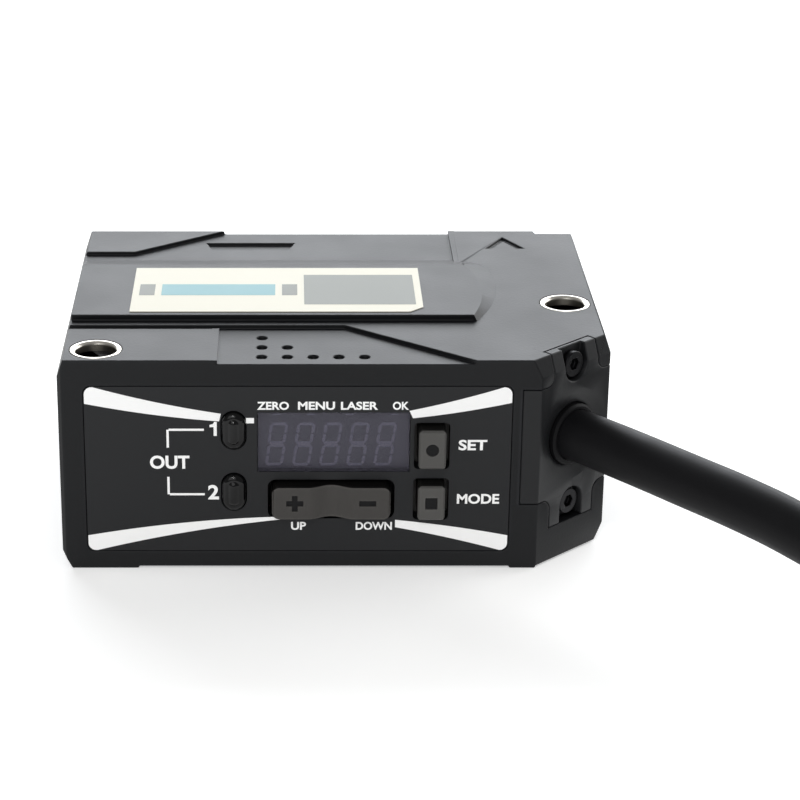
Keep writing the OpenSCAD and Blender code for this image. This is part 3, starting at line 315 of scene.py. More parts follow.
def lettering(text, box, thickness):
    """Points and faces of a word that fills a box of left, low, width and height."""
    left, low, width, height = box
    curve = bpy.data.curves.new("word", "FONT")
    curve.body = text
    # A little bolder than the font, and one unit thick about its middle
    curve.offset = 0.03
    curve.extrude = 0.5
    curve.resolution_u = 4
    holder = add_object("word", curve)
    mesh = made_mesh(holder)
    spots = [vertex.co.copy() for vertex in mesh.vertices]
    faces = [list(polygon.vertices) for polygon in mesh.polygons]
    bpy.data.objects.remove(holder)
    bpy.data.curves.remove(curve)
    bpy.data.meshes.remove(mesh)
    low_x, high_x = min(p.x for p in spots), max(p.x for p in spots)
    low_y, high_y = min(p.y for p in spots), max(p.y for p in spots)
    wide, tall = width / (high_x - low_x), height / (high_y - low_y)
    points = [(left + (p.x - low_x) * wide, low + (p.y - low_y) * tall, (p.z + 0.5) * thickness)
              for p in spots]
    return points, faces


def on_front(x, y, z):
    """Places points by millimetres to the right of a point, up from it and out of the front."""
    return lambda u, v, w: Vector((x + u * MM, y - w * MM, z + v * MM))


# Faces of the panel sheet and of the display module, each from its lower left corner
on_sheet = on_front(*SHEET_LOW)
on_digits = on_front(*DIGITS_LOW)


def on_label(u, v, w):
    """Point on the label, in millimetres from its front left corner and up from it."""
    return Vector((LABEL_LOW.x + u * MM, LABEL_LOW.y + v * MM, LABEL_HIGH.z + w * MM))


def as_given(*point):
    """Point that is in place already."""
    return Vector(point)


def on_case(u, v, w):
    """Point on the case, in millimetres from the middle of its front edge, its front face and its foot."""
    return Vector((u * MM, CASE_LOW.y + v * MM, w * MM))


def on_key(name, shift=0.0):
    """Places a sign on a key, in millimetres from the middle of its face and out of the sign's sunk floor."""
    low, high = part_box(name)
    middle = (low + high) / 2
    return on_front(middle.x + shift * MM, low.y + SIGN_DEPTH * MM, middle.z)


def by_corner(out, left, height):
    """Point by distance out of the cut corner, distance left of its middle and height, in millimetres."""
    turn = math.atan2(CORNER_CUT[1], CORNER_CUT[0])
    across, ahead = math.cos(turn), math.sin(turn)
    return Vector((CASE_HIGH.x - CORNER_CUT[0] / 2 * MM + (out * ahead + left * across) * MM,
                   CASE_LOW.y + CORNER_CUT[1] / 2 * MM + (left * ahead - out * across) * MM, height * MM))


def corner_prism(section, half_width):
    """Solid along the cut corner over a section of distances out and heights, in millimetres."""
    return sweep([[by_corner(out, left, height) for out, height in section]
                  for left in (-half_width, half_width)])


def weld(piece):
    """Joins the loose corners of a solid's faces with a modifier."""
    piece.modifiers.new("weld", "WELD").merge_threshold = SAME_CORNER


def round_edges(width, degrees, *pieces):
    """Rounds edges sharper than an angle on pieces or CAD nodes, with modifiers that leave meshes alone."""
    for piece in pieces:
        node = NODES[piece] if isinstance(piece, str) else piece
        weld(node)
        flat = node.modifiers.new("flat", "DECIMATE")
        flat.decimate_type = "DISSOLVE"
        flat.angle_limit = FLAT_BELOW
        bevel = node.modifiers.new("bevel", "BEVEL")
        bevel.width = width
        bevel.segments = 2
        bevel.limit_method = "ANGLE"
        bevel.angle_limit = math.radians(degrees)
        bevel.use_clamp_overlap = False
        bevel.harden_normals = True


def sloped_copy(name, node, *cuts):
    """Piece that stands for a CAD node, with the top's edge slope over the cut corner and further cuts."""
    piece = add_object(name, NODES[node].data.copy())
    lean = SLOPE_IN / SLOPE_DOWN
    top, foot, reach = CASE_TOP + SLOPE_DOWN, CASE_TOP - SLOPE_DOWN, 20.0
    slope = [(0.0, foot), (reach, foot), (reach, top), (-lean * (top - foot), top)]
    wedge = add_object("wedge", joined_mesh("wedge", [corner_prism(slope, reach), *cuts]))
    weld(piece)
    cut = piece.modifiers.new("cut", "BOOLEAN")
    cut.operation, cut.solver, cut.object = "DIFFERENCE", "EXACT", wedge
    shape = made_mesh(piece)
    piece.modifiers.clear()
    piece.data = shape
    bpy.data.objects.remove(wedge)
    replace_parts(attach(piece, "housing"), node)
    return piece


class SENSOR_OT_case(bpy.types.Operator):
    """Dress the moulded case and its base cover"""

    bl_idname = "sensor.case"
    bl_label = "Case"

    # Heights of the sunk fields, the case's top and the label pad, and how far a piece laps over an edge, in
    # millimetres
    sunk, top, pad, lap = CASE_TOP - 0.45, CASE_TOP, CASE_TOP + 0.7, 0.2
    # The pad's bowed end: its front and back, the sideways place of its corners, how far it bows out, and the
    # slope's width at its front and back
    pad_front, pad_back, pad_end, pad_bow = 12.8, 30.7, 15.9, 1.5
    slope_front, slope_back = 0.4, 3.04
    # Sections along the bow and round its back corner
    bow_steps, corner_steps = 24, 8
    # Sideways place of a sunk field's end, width of its slope, and its front and back
    field_ends = [(-13.35, -0.6, 0.03, 10.19), (14.9, 0.6, 32.7, 45.97)]

    def pad_slope(self):
        """Slope along the pad's bowed end, which grows wider to the back and turns round the corner."""
        half_chord = (self.pad_back - self.pad_front) / 2
        arc_radius = (half_chord ** 2 + self.pad_bow ** 2) / (2 * self.pad_bow)
        arc_middle = (self.pad_end + self.pad_bow - arc_radius, (self.pad_front + self.pad_back) / 2)
        arc_half = math.asin(half_chord / arc_radius)
        sections = []
        for i in range(self.bow_steps + self.corner_steps + 1):
            share = min(i / self.bow_steps, 1.0)
            angle = arc_half * (2 * share - 1)
            middle, radius = arc_middle, arc_radius
            if i > self.bow_steps:
                middle, radius = (self.pad_end, self.pad_back), 0.0
                angle += (math.pi / 2 - arc_half) * (i - self.bow_steps) / self.corner_steps
            width = self.slope_front + (self.slope_back - self.slope_front) * share
            section = [(-self.lap, self.top - self.lap), (-self.lap, self.pad + LIFT),
                       (0.0, self.pad + LIFT), (width, self.top), (width, self.top - self.lap)]
            sections.append([(middle[0] + (radius + out) * math.cos(angle),
                              middle[1] + (radius + out) * math.sin(angle), z) for out, z in section])
        return sweep(sections)

    def field_end(self, x, slope, front, back):
        """Filling over the slope at the end of a sunk field, which leaves an upright step."""
        lap = math.copysign(self.lap, slope)
        section = [(x, self.sunk), (x, self.top + LIFT), (x + slope + lap, self.top + LIFT),
                   (x + slope + lap, self.top - self.lap)]
        return sweep([[(u, y, z) for u, z in section] for y in (front, back)])

    def execute(self, context):
        sizes, colours = settings(context)
        # Glass-filled PBT from a spark-eroded mould: dark and matt, with a fine even grain that greys at a
        # low angle, and edges rubbed lighter. The real grain is about 0.1 mm and is drawn at 0.3 mm so that
        # it shows.
        look = {"patch": 7.0, "tone": 0.12, "IOR": 1.55, "Specular_IOR_Level": 0.17}
        case = surface("PBT_spark_eroded", colours.case, 0.44, 0.3, 0.012, wear=2.0, **look)
        moulding = sloped_copy("case_moulding", "main_case")
        dress(case, moulding, "base_cover")
        round_edges(sizes.case_edge, 22, moulding, "base_cover")
        # The same moulding where no edge is rubbed: the slope at the label pad's end, the upright ends of the
        # sunk fields and the lip behind the cable block's tab
        plain = surface("PBT_spark_eroded_unworn", colours.case, 0.44, 0.3, 0.012, **look)
        relief("pad_end_slope", [self.pad_slope()], on_case, plain, smooth=True)
        relief("field_ends", [self.field_end(*end) for end in self.field_ends], on_case, plain)
        lip = rectangle(-LIP_BACK, LIP_FOOT, -TAB_THICK - TAB_GAP, self.top + LIFT)
        relief("tab_lip", [corner_prism(lip, TAB_HALF)], as_given, plain)
        # Zinc-plated pressed steel: bright and slightly clouded
        zinc = surface("zinc_plated_steel", "#b4b6ba", 0.3, 0.2, 0.003, patch=1.5, Metallic=1.0)
        dress(zinc, "cover_screws")
        return {"FINISHED"}


# White stripes of the panel, in millimetres from the sheet's lower left corner. Each starts at a corner,
# between a point on the long edge and a point on the short edge, and runs in to a narrow end.
STRIPES = [
    {"corner": (-1, 1), "long": 1.04, "short": 18.01, "ends": ((18.94, 16.3), (18.94, 15.66)), "bow": -0.38},
    {"corner": (-1, -1), "long": 1.11, "short": 1.89, "ends": ((21.94, 3.88), (21.04, 4.19)), "bow": 0.38},
    {"corner": (1, 1), "long": 46.76, "short": 18.12, "ends": ((36.26, 17.16), (36.66, 16.27)), "bow": -0.15},
    {"corner": (1, -1), "long": 46.76, "short": 1.89, "ends": ((34.87, 2.91), (34.86, 3.82)), "bow": 0.15},
]
# Radius of the sheet's corners, and how far the stripes keep from its edge
SHEET_CORNER, STRIPE_INSET = 0.9, 0.06


def bowed(start, end, bow, share=1.0, steps=12):
    """Points of a shallow curve from start to end, up to a share of its length."""
    points = []
    for i in range(steps + 1):
        t = share * i / steps
        points.append((start[0] + (end[0] - start[0]) * t,
                       start[1] + (end[1] - start[1]) * t + 4 * bow * t * (1 - t)))
    return points


def stripe_outline(stripe, share):
    """Outline of one stripe, round at the sheet's corner, up to a share of its length."""
    width, height = (SHEET_HIGH.x - SHEET_LOW.x) / MM, (SHEET_HIGH.z - SHEET_LOW.z) / MM
    side_u, side_v = stripe["corner"]
    edge_u = STRIPE_INSET if side_u < 0 else width - STRIPE_INSET
    edge_v = STRIPE_INSET if side_v < 0 else height - STRIPE_INSET
    radius = SHEET_CORNER - STRIPE_INSET
    mid_u, mid_v = edge_u - side_u * radius, edge_v - side_v * radius
    arc = [(mid_u + side_u * radius * math.sin(a), mid_v + side_v * radius * math.cos(a))
           for a in (math.radians(15 * i) for i in range(7))]
    along = bowed((stripe["long"], edge_v), stripe["ends"][0], stripe["bow"], share)
    back = bowed((edge_u, stripe["short"]), stripe["ends"][1], stripe["bow"], share)
    outline = along[::-1] + arc + back
    return outline if side_u * side_v < 0 else outline[::-1]


class SENSOR_OT_panel(bpy.types.Operator):
    """Dress the panel sheet and print its stripes, words and lines"""

    bl_idname = "sensor.panel"
    bl_label = "Panel"

    # Words with the left, foot, width and height of each in millimetres on the sheet, and the 1's outline
    words = [
        ("ZERO", (19.29, 17.28, 3.55, 0.98)), ("MENU", (23.84, 17.28, 4.12, 0.98)),
        ("LASER", (28.62, 17.28, 4.13, 0.98)), ("OK", (34.39, 17.28, 1.8, 0.98)),
        ("OUT", (7.24, 10.12, 4.44, 1.63)), ("2", (13.72, 6.36, 1.23, 1.79)),
        ("SET", (41.83, 12.38, 3.2, 1.28)), ("MODE", (41.8, 5.81, 4.78, 1.23)),
        ("UP", (23.08, 2.57, 1.7, 1.0)), ("DOWN", (30.41, 2.57, 4.11, 1.0)),
    ]
    figure_one = [(14.43, 14.14), (14.78, 14.14), (14.78, 15.83), (14.5, 15.83), (14.36, 15.58),
                  (13.98, 15.46), (13.98, 15.2), (14.43, 15.2)]
    # Bracket: sideways place of its uprights and of its ends, and the heights between which each upright runs
    bracket_x, bracket_end = 9.28, 13.34
    bracket_rows = [(12.72, 14.88), (9.14, 7.0)]
    # How far the first stripe runs in beside the lens's round ends
    lens_overlap = 0.6

    def execute(self, context):
        sizes, colours = settings(context)
        ink_t, line = sizes.ink / MM, sizes.bracket / MM
        # Polyester film with a matt lacquer: even, smoother than the case
        film = surface("polyester_film_lacquered", colours.panel, 0.42, 0.5, 0.002, patch=14.0, tone=0.05,
                       IOR=1.57, Specular_IOR_Level=0.2)
        dress(film, "panel_sheet")
        # Screen ink: dense matt white with a faint ripple from the mesh
        ink = surface("white_screen_ink", colours.ink, 0.55, 0.25, 0.002, tone=0.02)
        lens_left = (UPPER_LENS_LOW.x - SHEET_LOW.x) / MM
        lens_right = (UPPER_LENS_HIGH.x - SHEET_LOW.x) / MM
        shapes = [slab(stripe_outline(stripe, 1.0), ink_t) for stripe in STRIPES[1:]]
        first = STRIPES[0]
        (right, high), (_, low) = first["ends"]
        share = (lens_left + self.lens_overlap - first["long"]) / (right - first["long"])
        shapes.append(slab(stripe_outline(first, share), ink_t))
        shapes.append(slab(rectangle(lens_right - self.lens_overlap, low, right, high), ink_t))
        relief("panel_stripes", shapes, on_sheet, ink)
        words = [lettering(text, box, ink_t) for text, box in self.words]
        relief("panel_words", words + [slab(self.figure_one, ink_t)], on_sheet, ink)
        lines = []
        for start, end in self.bracket_rows:
            low, high = min(start, end), max(start, end)
            left, right = self.bracket_x - line / 2, self.bracket_x + line / 2
            lines.append(slab(rectangle(left, low, right, high), ink_t))
            lines.append(slab(rectangle(right, end - line / 2, self.bracket_end, end + line / 2), ink_t))
        relief("panel_brackets", lines, on_sheet, ink)
        return {"FINISHED"}


class SENSOR_OT_display(bpy.types.Operator):
    """Dress the display window and make the digits behind it"""

    bl_idname = "sensor.display"
    bl_label = "Display"

    # Place of the first digit in millimetres, how far the upper row is shifted to the right, and the gap
    # between the upright segments
    digits_per_row, first_digit, row_shift, segment_gap = 5, (0.48, 0.15), 0.29, 0.05
    # Width and height of the lamps' dashes over the digits, their places and their foot
    dash_box, dash_spots, dash_foot = (0.9, 0.16), (1.4, 5.2, 9.6, 14.6), 6.3
    # Thickness of the tinted film and its distance from the module
    film, film_gap = 0.08, 0.02

    def segments(self, sizes):
        """Outlines of the six outer segments of one digit."""
        width, height, bar = sizes.digit_width / MM, sizes.digit_height / MM, sizes.segment / MM
        gap = self.segment_gap
        lying = [(0.0, 0.0), (bar / 2, -bar / 2), (width - 1.5 * bar, -bar / 2), (width - bar, 0.0),
                 (width - 1.5 * bar, bar / 2), (bar / 2, bar / 2)]
        tall = (height - bar) / 2
        upright = [(0.0, gap), (bar / 2, bar / 2), (bar / 2, tall - bar / 2), (0.0, tall - gap),
                   (-bar / 2, tall - bar / 2), (-bar / 2, bar / 2)]
        shapes = [[(x + bar / 2, y + z) for x, y in lying] for z in (bar / 2, height - bar / 2)]
        shapes += [[(x + u, y + v) for x, y in upright]
                   for u in (bar / 2, width - bar / 2) for v in (bar / 2, bar / 2 + tall)]
        return shapes

    def execute(self, context):
        sizes, colours = settings(context)
        # Cast resin of the display module: near black, smooth
        module = surface("display_resin_cast", "#1f1d26", 0.35, 0.6, 0.002, tone=0.05)
        dress(module, "digit_display")
        # Tinted polycarbonate film between the module and the window: an even violet grey
        tinted = surface("polycarbonate_film_tinted", colours.film, 0.5, 0.4, 0.001, tone=0.03)
        low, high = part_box("display_window")
        left, right = ((x - DIGITS_LOW.x) / MM for x in (low.x, high.x))
        foot, head = ((z - DIGITS_LOW.z) / MM for z in (low.z, high.z))
        relief("display_film", [slab(rectangle(left, foot, right, head), self.film)],
               lambda u, v, w: on_digits(u, v, w + self.film_gap), tinted)
        # Milky resin of the unlit segments: a paler violet grey
        milky = surface("segment_resin_milky", colours.digit, 0.5, 0.2, 0.002, tone=0.05)
        lean = math.tan(sizes.digit_slant)
        shapes = []
        for row in range(2):
            for digit in range(self.digits_per_row):
                u = self.first_digit[0] + digit * sizes.digit_pitch / MM + row * self.row_shift
                v = self.first_digit[1] + row * sizes.row_pitch / MM
                for outline in self.segments(sizes):
                    shapes.append(slab([(u + x + lean * y, v + y) for x, y in outline], sizes.ink / MM))
        for spot in self.dash_spots:
            shapes.append(slab(rectangle(spot, self.dash_foot, spot + self.dash_box[0],
                                         self.dash_foot + self.dash_box[1]), sizes.ink / MM))
        front = self.film_gap + self.film
        relief("display_digits", shapes, lambda u, v, w: on_digits(u, v, w + front), milky)
        # Smoked acrylic, moulded: a satin grey face through which the digits show faintly
        smoked = surface("acrylic_smoked_moulded", colours.window, 0.2, 3.0, 0.001, tone=0.04, IOR=1.49,
                         Alpha=0.25)
        dress(smoked, "display_window")
        return {"FINISHED"}


class SENSOR_OT_lenses(bpy.types.Operator):
    """Dress the indicator lenses and the lamps behind them"""

    bl_idname = "sensor.lenses"
    bl_label = "Indicator lenses"

    # Width and height of a lens, how far it is set in, the radius of its rounded edge and the crown of its
    # face, in millimetres
    width, height, set_in, edge, crown = 2.8, 4.6, 1.2, 0.8, 0.3
    # Rings over the rounded edge, places of those over the crowned face as shares of the way to its middle,
    # and points round a ring
    edge_steps, crown_shares, around = 8, (0.3, 0.6, 0.95), 40

    def dome(self, low, high):
        """Domed pill: rings that draw in over a round edge and a crowned face, and its back."""
        middle = (low + high) / 2
        straight = (self.height - self.width) / 2
        rings = [(0.0, self.set_in)]
        for i in range(self.edge_steps + 1):
            angle = math.pi / 2 * i / self.edge_steps
            rings.append((self.edge * (1 - math.cos(angle)), self.crown + self.edge * (1 - math.sin(angle))))
        rings += [(self.edge + (self.width / 2 - self.edge) * share, self.crown * (1 - share) ** 2)
                  for share in self.crown_shares]
        sections = []
        for inset, depth in rings:
            radius = self.width / 2 - inset
            section = []
            for i in range(self.around):
                angle = 2 * math.pi * (i + 0.5) / self.around
                lift = math.copysign(straight, math.sin(angle))
                section.append((middle.x + radius * math.cos(angle) * MM, low.y + depth * MM,
                                middle.z + (radius * math.sin(angle) + lift) * MM))
            sections.append(section)
        return sweep(sections)

    def execute(self, context):
        colours = context.scene.sensor_colours
        # Dark acrylic, polished: black with a hard highlight
        dark = surface("acrylic_dark_polished", colours.lens, 0.07, 1.5, 0.002, tone=0.05, gloss=0.03,
                       IOR=1.49, Specular_IOR_Level=0.3)
        for name, node in (("upper_lens", "indicator_lens_upper"), ("lower_lens", "indicator_lens_lower")):
            lens = relief(name, [self.dome(*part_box(node))], as_given, dark, smooth=True)
            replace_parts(lens, node)
        # Clear cast resin of the lamps: pale and glossy
        resin = surface("lamp_resin_cast", "#e6e2d2", 0.25, 0.5, 0.002)
        dress(resin, "indicator_leds")
        return {"FINISHED"}


class SENSOR_OT_keys(bpy.types.Operator):
    """Dress the rocker and the push keys"""

    bl_idname = "sensor.keys"
    bl_label = "Keys"

    # Half sizes of the paint in the sunk signs, a little inside their walls, and their distance from the
    # rocker's middle
    long, narrow, dot, square = 0.93, 0.29, 0.7, 0.66
    rocker_arm, dot_sides = 4.1, 32
    # How squarely a face looks forward where the painted shade on its sides begins to fade and where
    # it is gone, and how dark that painted shade is
    spray_from, spray_full, bare_shade = 0.25, 0.75, 0.12

    def execute(self, context):
        sizes, colours = settings(context)
        # Grey ABS, satin, a little shiny where fingers rub it; every side that does not face forward is
        # darkened nearly to black with painted shade
        for key_finish, colour, keys in (("ABS_satin_keys_painted_side_shade", colours.key, ("upper_key", "lower_key")),
                                   ("ABS_satin_rocker_painted_side_shade", colours.rocker, ("rocker_key",))):
            satin = surface(key_finish, colour, 0.4, 0.25, 0.006, patch=3.0, tone=0.08, gloss=0.08, wear=0.8,
                            Specular_IOR_Level=0.2)
            tree = satin.node_tree
            # Painted shade: the less squarely a face looks forward, the darker it is painted
            facing = add(tree, "ShaderNodeSeparateXYZ", {},
                         {"Vector": add(tree, "ShaderNodeTexCoord").outputs["Normal"]})
            side_shading = {"From Min": -self.spray_from, "From Max": -self.spray_full, "To Min": self.bare_shade}
            side_shade_mask = add(tree, "ShaderNodeMapRange", side_shading, {"Value": facing.outputs["Y"]})
            multiply_shade(tree, side_shade_mask.outputs["Result"])
            dress(satin, *keys)
        round_edges(sizes.key_edge, 30, "rocker_key", "upper_key", "lower_key")
        # Pad-printing paint in the signs: flat black
        paint = surface("black_pad_print_paint", "#08080a", 0.5, 0.2, 0.002, tone=0.1,
                        Specular_IOR_Level=0.2)
        a, b, paint_t = self.long, self.narrow, sizes.ink / MM
        plus = [(-b, -a), (b, -a), (b, -b), (a, -b), (a, b), (b, b),
                (b, a), (-b, a), (-b, b), (-a, b), (-a, -b), (-b, -b)]
        minus = rectangle(-a, -b, a, b)
        square = rectangle(-self.square, -self.square, self.square, self.square)
        angles = [2 * math.pi * i / self.dot_sides for i in range(self.dot_sides)]
        dot = [(self.dot * math.cos(angle), self.dot * math.sin(angle)) for angle in angles]
        for name, outline, key, shift, body in (
                ("plus_sign", plus, "rocker_key", -self.rocker_arm, "rocker"),
                ("minus_sign", minus, "rocker_key", self.rocker_arm, "rocker"),
                ("dot_sign", dot, "upper_key", 0.0, "upper_button"),
                ("square_sign", square, "lower_key", 0.0, "lower_button")):
            relief(name, [slab(outline, paint_t)], on_key(key, shift), paint, body)
        # Tinned steel of the switches, pressed: grey with a soft shine
        steel = surface("tinned_steel_pressed", "#9b9ea3", 0.35, 0.3, 0.003, Metallic=1.0)
        dress(steel, "key_switches")
        # Nylon of the rocker's yoke and the boards' plug, moulded: dark grey and slightly waxy
        nylon = surface("nylon_moulded", "#3a3b3f", 0.5, 0.3, 0.004)
        dress(nylon, "rocker_yoke", "board_link")
        return {"FINISHED"}


class SENSOR_OT_bushes(bpy.types.Operator):
    """Dress the two metal mounting bushes"""

    bl_idname = "sensor.bushes"
    bl_label = "Mounting bushes"

    # Radius of the bore, rounding of the edges and distance of the turning marks, in millimetres
    bore, edge, feed = 2.25, 0.08, 0.754

    def execute(self, context):
        for name in ("front_bush", "rear_bush"):
            low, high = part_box(name)
            middle = ((low.x + high.x) / 2 / MM, (low.y + high.y) / 2 / MM)
            # Stainless steel, turned: bright rings that catch the light in streaks. The real marks, about
            # 0.05 mm apart, are drawn much wider so that they show.
            metal = turned_metal(f"stainless_steel_turned_{name}", "#d6d2c8", 0.32, middle,
                                 self.feed, self.bore)
            dress(metal, name)
            round_edges(self.edge * MM, 30, name)
        return {"FINISHED"}


class SENSOR_OT_cable_entry(bpy.types.Operator):
    """Dress the cable block with its screws, seal and bush"""

    bl_idname = "sensor.cable_entry"
    bl_label = "Cable entry"

    # Rounding of the screws' edges, and how far the cut behind the upper tab goes past the lip and up, in
    # millimetres
    screw_edge, cut_past, cut_top = 0.1, 1.0, 30.0

    def execute(self, context):
        sizes, colours = settings(context)
        # The same glass-filled PBT as the case from a finer mould, so a little lighter
        block = surface("PBT_fine_matt", colours.block, 0.48, 0.25, 0.008, patch=5.0, tone=0.1, wear=1.5,
                        IOR=1.55, Specular_IOR_Level=0.25)
        behind_tab = rectangle(-LIP_BACK - self.cut_past, TAB_FOOT, -TAB_THICK, self.cut_top)
        moulding = sloped_copy("block_moulding", "cable_block", corner_prism(behind_tab, TAB_HALF))
        dress(block, moulding)
        round_edges(sizes.case_edge, 25, moulding)
        # Steel with black oxide: dark, with a faint oily shine
        black = surface("steel_black_oxide", "#1e1e20", 0.33, 0.15, 0.003, patch=1.2, Metallic=0.9)
        dress(black, "block_screws")
        round_edges(self.screw_edge * MM, 30, "block_screws")
        # Moulded EPDM rubber: matt black
        rubber = surface("EPDM_moulded", "#08080a", 0.62, 0.3, 0.006, tone=0.1, Specular_IOR_Level=0.15)
        dress(rubber, "cable_bush", "block_gasket")
        # Rolled spring steel: bright and even
        steel = surface("spring_steel_rolled", "#9a9ca0", 0.3, 0.2, 0.003, Metallic=1.0)
        dress(steel, "cable_clip")
        return {"FINISHED"}


class SENSOR_OT_label(bpy.types.Operator):
    """Dress the label and print its plain fields"""

    bl_idname = "sensor.label"
    bl_label = "Label"

    # Left, front, right and back of the printed fields in millimetres
    grey_fields = [(0.8, 5.6, 2.6, 9.4), (17.6, 5.6, 19.4, 9.4), (20.2, 2.4, 33.2, 12.8)]
    teal_fields = [(3.4, 5.6, 16.8, 9.4)]

    def execute(self, context):
        sizes, colours = settings(context)
        ink_t = sizes.ink / MM
        # Polyester label film with a satin face
        film = surface("polyester_label_film", colours.label, 0.45, 0.6, 0.002, patch=10.0, tone=0.02,
                       Specular_IOR_Level=0.1)
        dress(film, "label")
        # Process inks, smooth and slightly glossier than the film
        for name, colour, fields in (("grey", colours.label_grey, self.grey_fields),
                                     ("teal", colours.label_teal, self.teal_fields)):
            ink = surface(f"{name}_label_ink", colour, 0.4, 0.3, 0.001, tone=0.04, Specular_IOR_Level=0.1)
            shapes = [slab(rectangle(*field), ink_t) for field in fields]
            relief(f"label_{name}_fields", shapes, on_label, ink)
        return {"FINISHED"}


class SENSOR_OT_inside(bpy.types.Operator):
    """Dress the sensing windows, the optics and the boards"""

    bl_idname = "sensor.inside"
    bl_label = "Windows, optics and boards"

    def execute(self, context):
        # Filter glass with a hard coating: dark red, mirror smooth
        filter_glass = surface("filter_glass_coated", "#7a3a44", 0.04, 4.0, 0.001, tone=0.02,
                               gloss=0.02, IOR=1.52, Transmission_Weight=1.0, Coat_Weight=0.5)
        dress(filter_glass, "emitter_window", "receiver_window")
        # Polished optical glass: clear, with sharp reflections
        optic = surface("optical_glass_polished", "#dfe9ea", 0.02, 4.0, 0.0005, tone=0.01,
                        gloss=0.01, IOR=1.52, Transmission_Weight=1.0)
        dress(optic, "collimator_lens", "receiver_lens")
        # Die-cast aluminium: pale, slightly grainy, dull
        cast = surface("aluminium_die_cast", "#a2a5a9", 0.45, 0.4, 0.01, patch=4.0, Metallic=1.0)
        dress(cast, "optical_base")
        # Brass, turned: warm yellow with a clean shine
        brass = surface("brass_turned", "#b9974e", 0.28, 0.15, 0.003, Metallic=1.0)
        dress(brass, "laser_barrel")
        # Steel under thin gold plating: smooth and bright
        plated = surface("steel_gold_plated", "#d2ac5c", 0.2, 0.3, 0.002, Metallic=1.0)
        dress(plated, "laser_diode")
        # Epoxy glass board under solder mask: green, uneven over the weave
        board = surface("epoxy_glass_board", "#1d5a38", 0.35, 0.4, 0.004, patch=2.0, tone=0.12)
        dress(board, "main_board", "sensor_board")
        # The display's board is given black solder mask as painted shade in the gaps beside the keys
        gap_shade_board = surface("epoxy_glass_board_black_gap_shade", "#0b0b0c", 0.4, 0.4, 0.004, patch=2.0)
        dress(gap_shade_board, "display_board")
        # Epoxy moulding compound of the chips: dull dark grey
        chip = surface("epoxy_moulding_compound", "#222326", 0.55, 0.15, 0.004)
        dress(chip, "board_chips", "image_sensor")
        return {"FINISHED"}


# Route of the cable as in the solids, in millimetres by the cut corner: distances out and left, and height.
# The lead runs straight out, and its points give their share of the height from the coil to the block.
LEAD_POINTS = [(-8, 1), (0, 1), (2, 1), (8, 0.987), (16, 0.956), (24, 0.921), (30, 0.868), (38, 0.735),
               (44, 0.56), (50, 0.345), (55, 0.165), (60, 0.04), (64, 0)]
TAIL_POINTS = [(64, 60, 9.6), (60, 60, 9.3), (56, 60, 8.6), (52, 60, 7.9), (48, 60, 7.45), (45.5, 60, 7.3),
               (43.02, 60, 7.3)]
CABLE_HEIGHT = 14.9
# Coil: its centre, its radius, how far an inner turn steps in, the height of its lowest turn and how far it
# climbs
COIL_CENTRE, COIL_RADIUS, COIL_STEP, COIL_LOW, COIL_RISE = (64, 30), 30.0, 6.2, 3.5, 6.1
COIL_TURNS, POINTS_PER_TURN = 2.5, 20
# Turns at which the cable steps in, climbs and steps out again, and the turns that each of these takes
STEP_IN, CLIMB, STEP_OUT, CHANGE = 0.6, 1.2, 1.85, 0.4


def eased(share):
    """Smooth step from 0 to 1."""
    share = min(max(share, 0.0), 1.0)
    return share * share * (3 - 2 * share)


def cable_points():
    """All points of the cable: lead, coil and tail."""
    points = [by_corner(out, 0, COIL_LOW + share * (CABLE_HEIGHT - COIL_LOW)) for out, share in LEAD_POINTS]
    steps = int(POINTS_PER_TURN * COIL_TURNS)
    for i in range(1, steps):
        turned = COIL_TURNS * i / steps
        inward = eased((turned - STEP_IN) / CHANGE) - eased((turned - STEP_OUT) / CHANGE)
        radius = COIL_RADIUS - COIL_STEP * inward
        height = COIL_LOW + COIL_RISE * eased((turned - CLIMB) / CHANGE)
        angle = 2 * math.pi * turned
        points.append(by_corner(COIL_CENTRE[0] + radius * math.sin(angle),
                                COIL_CENTRE[1] - radius * math.cos(angle), height))
    return points + [by_corner(*p) for p in TAIL_POINTS]


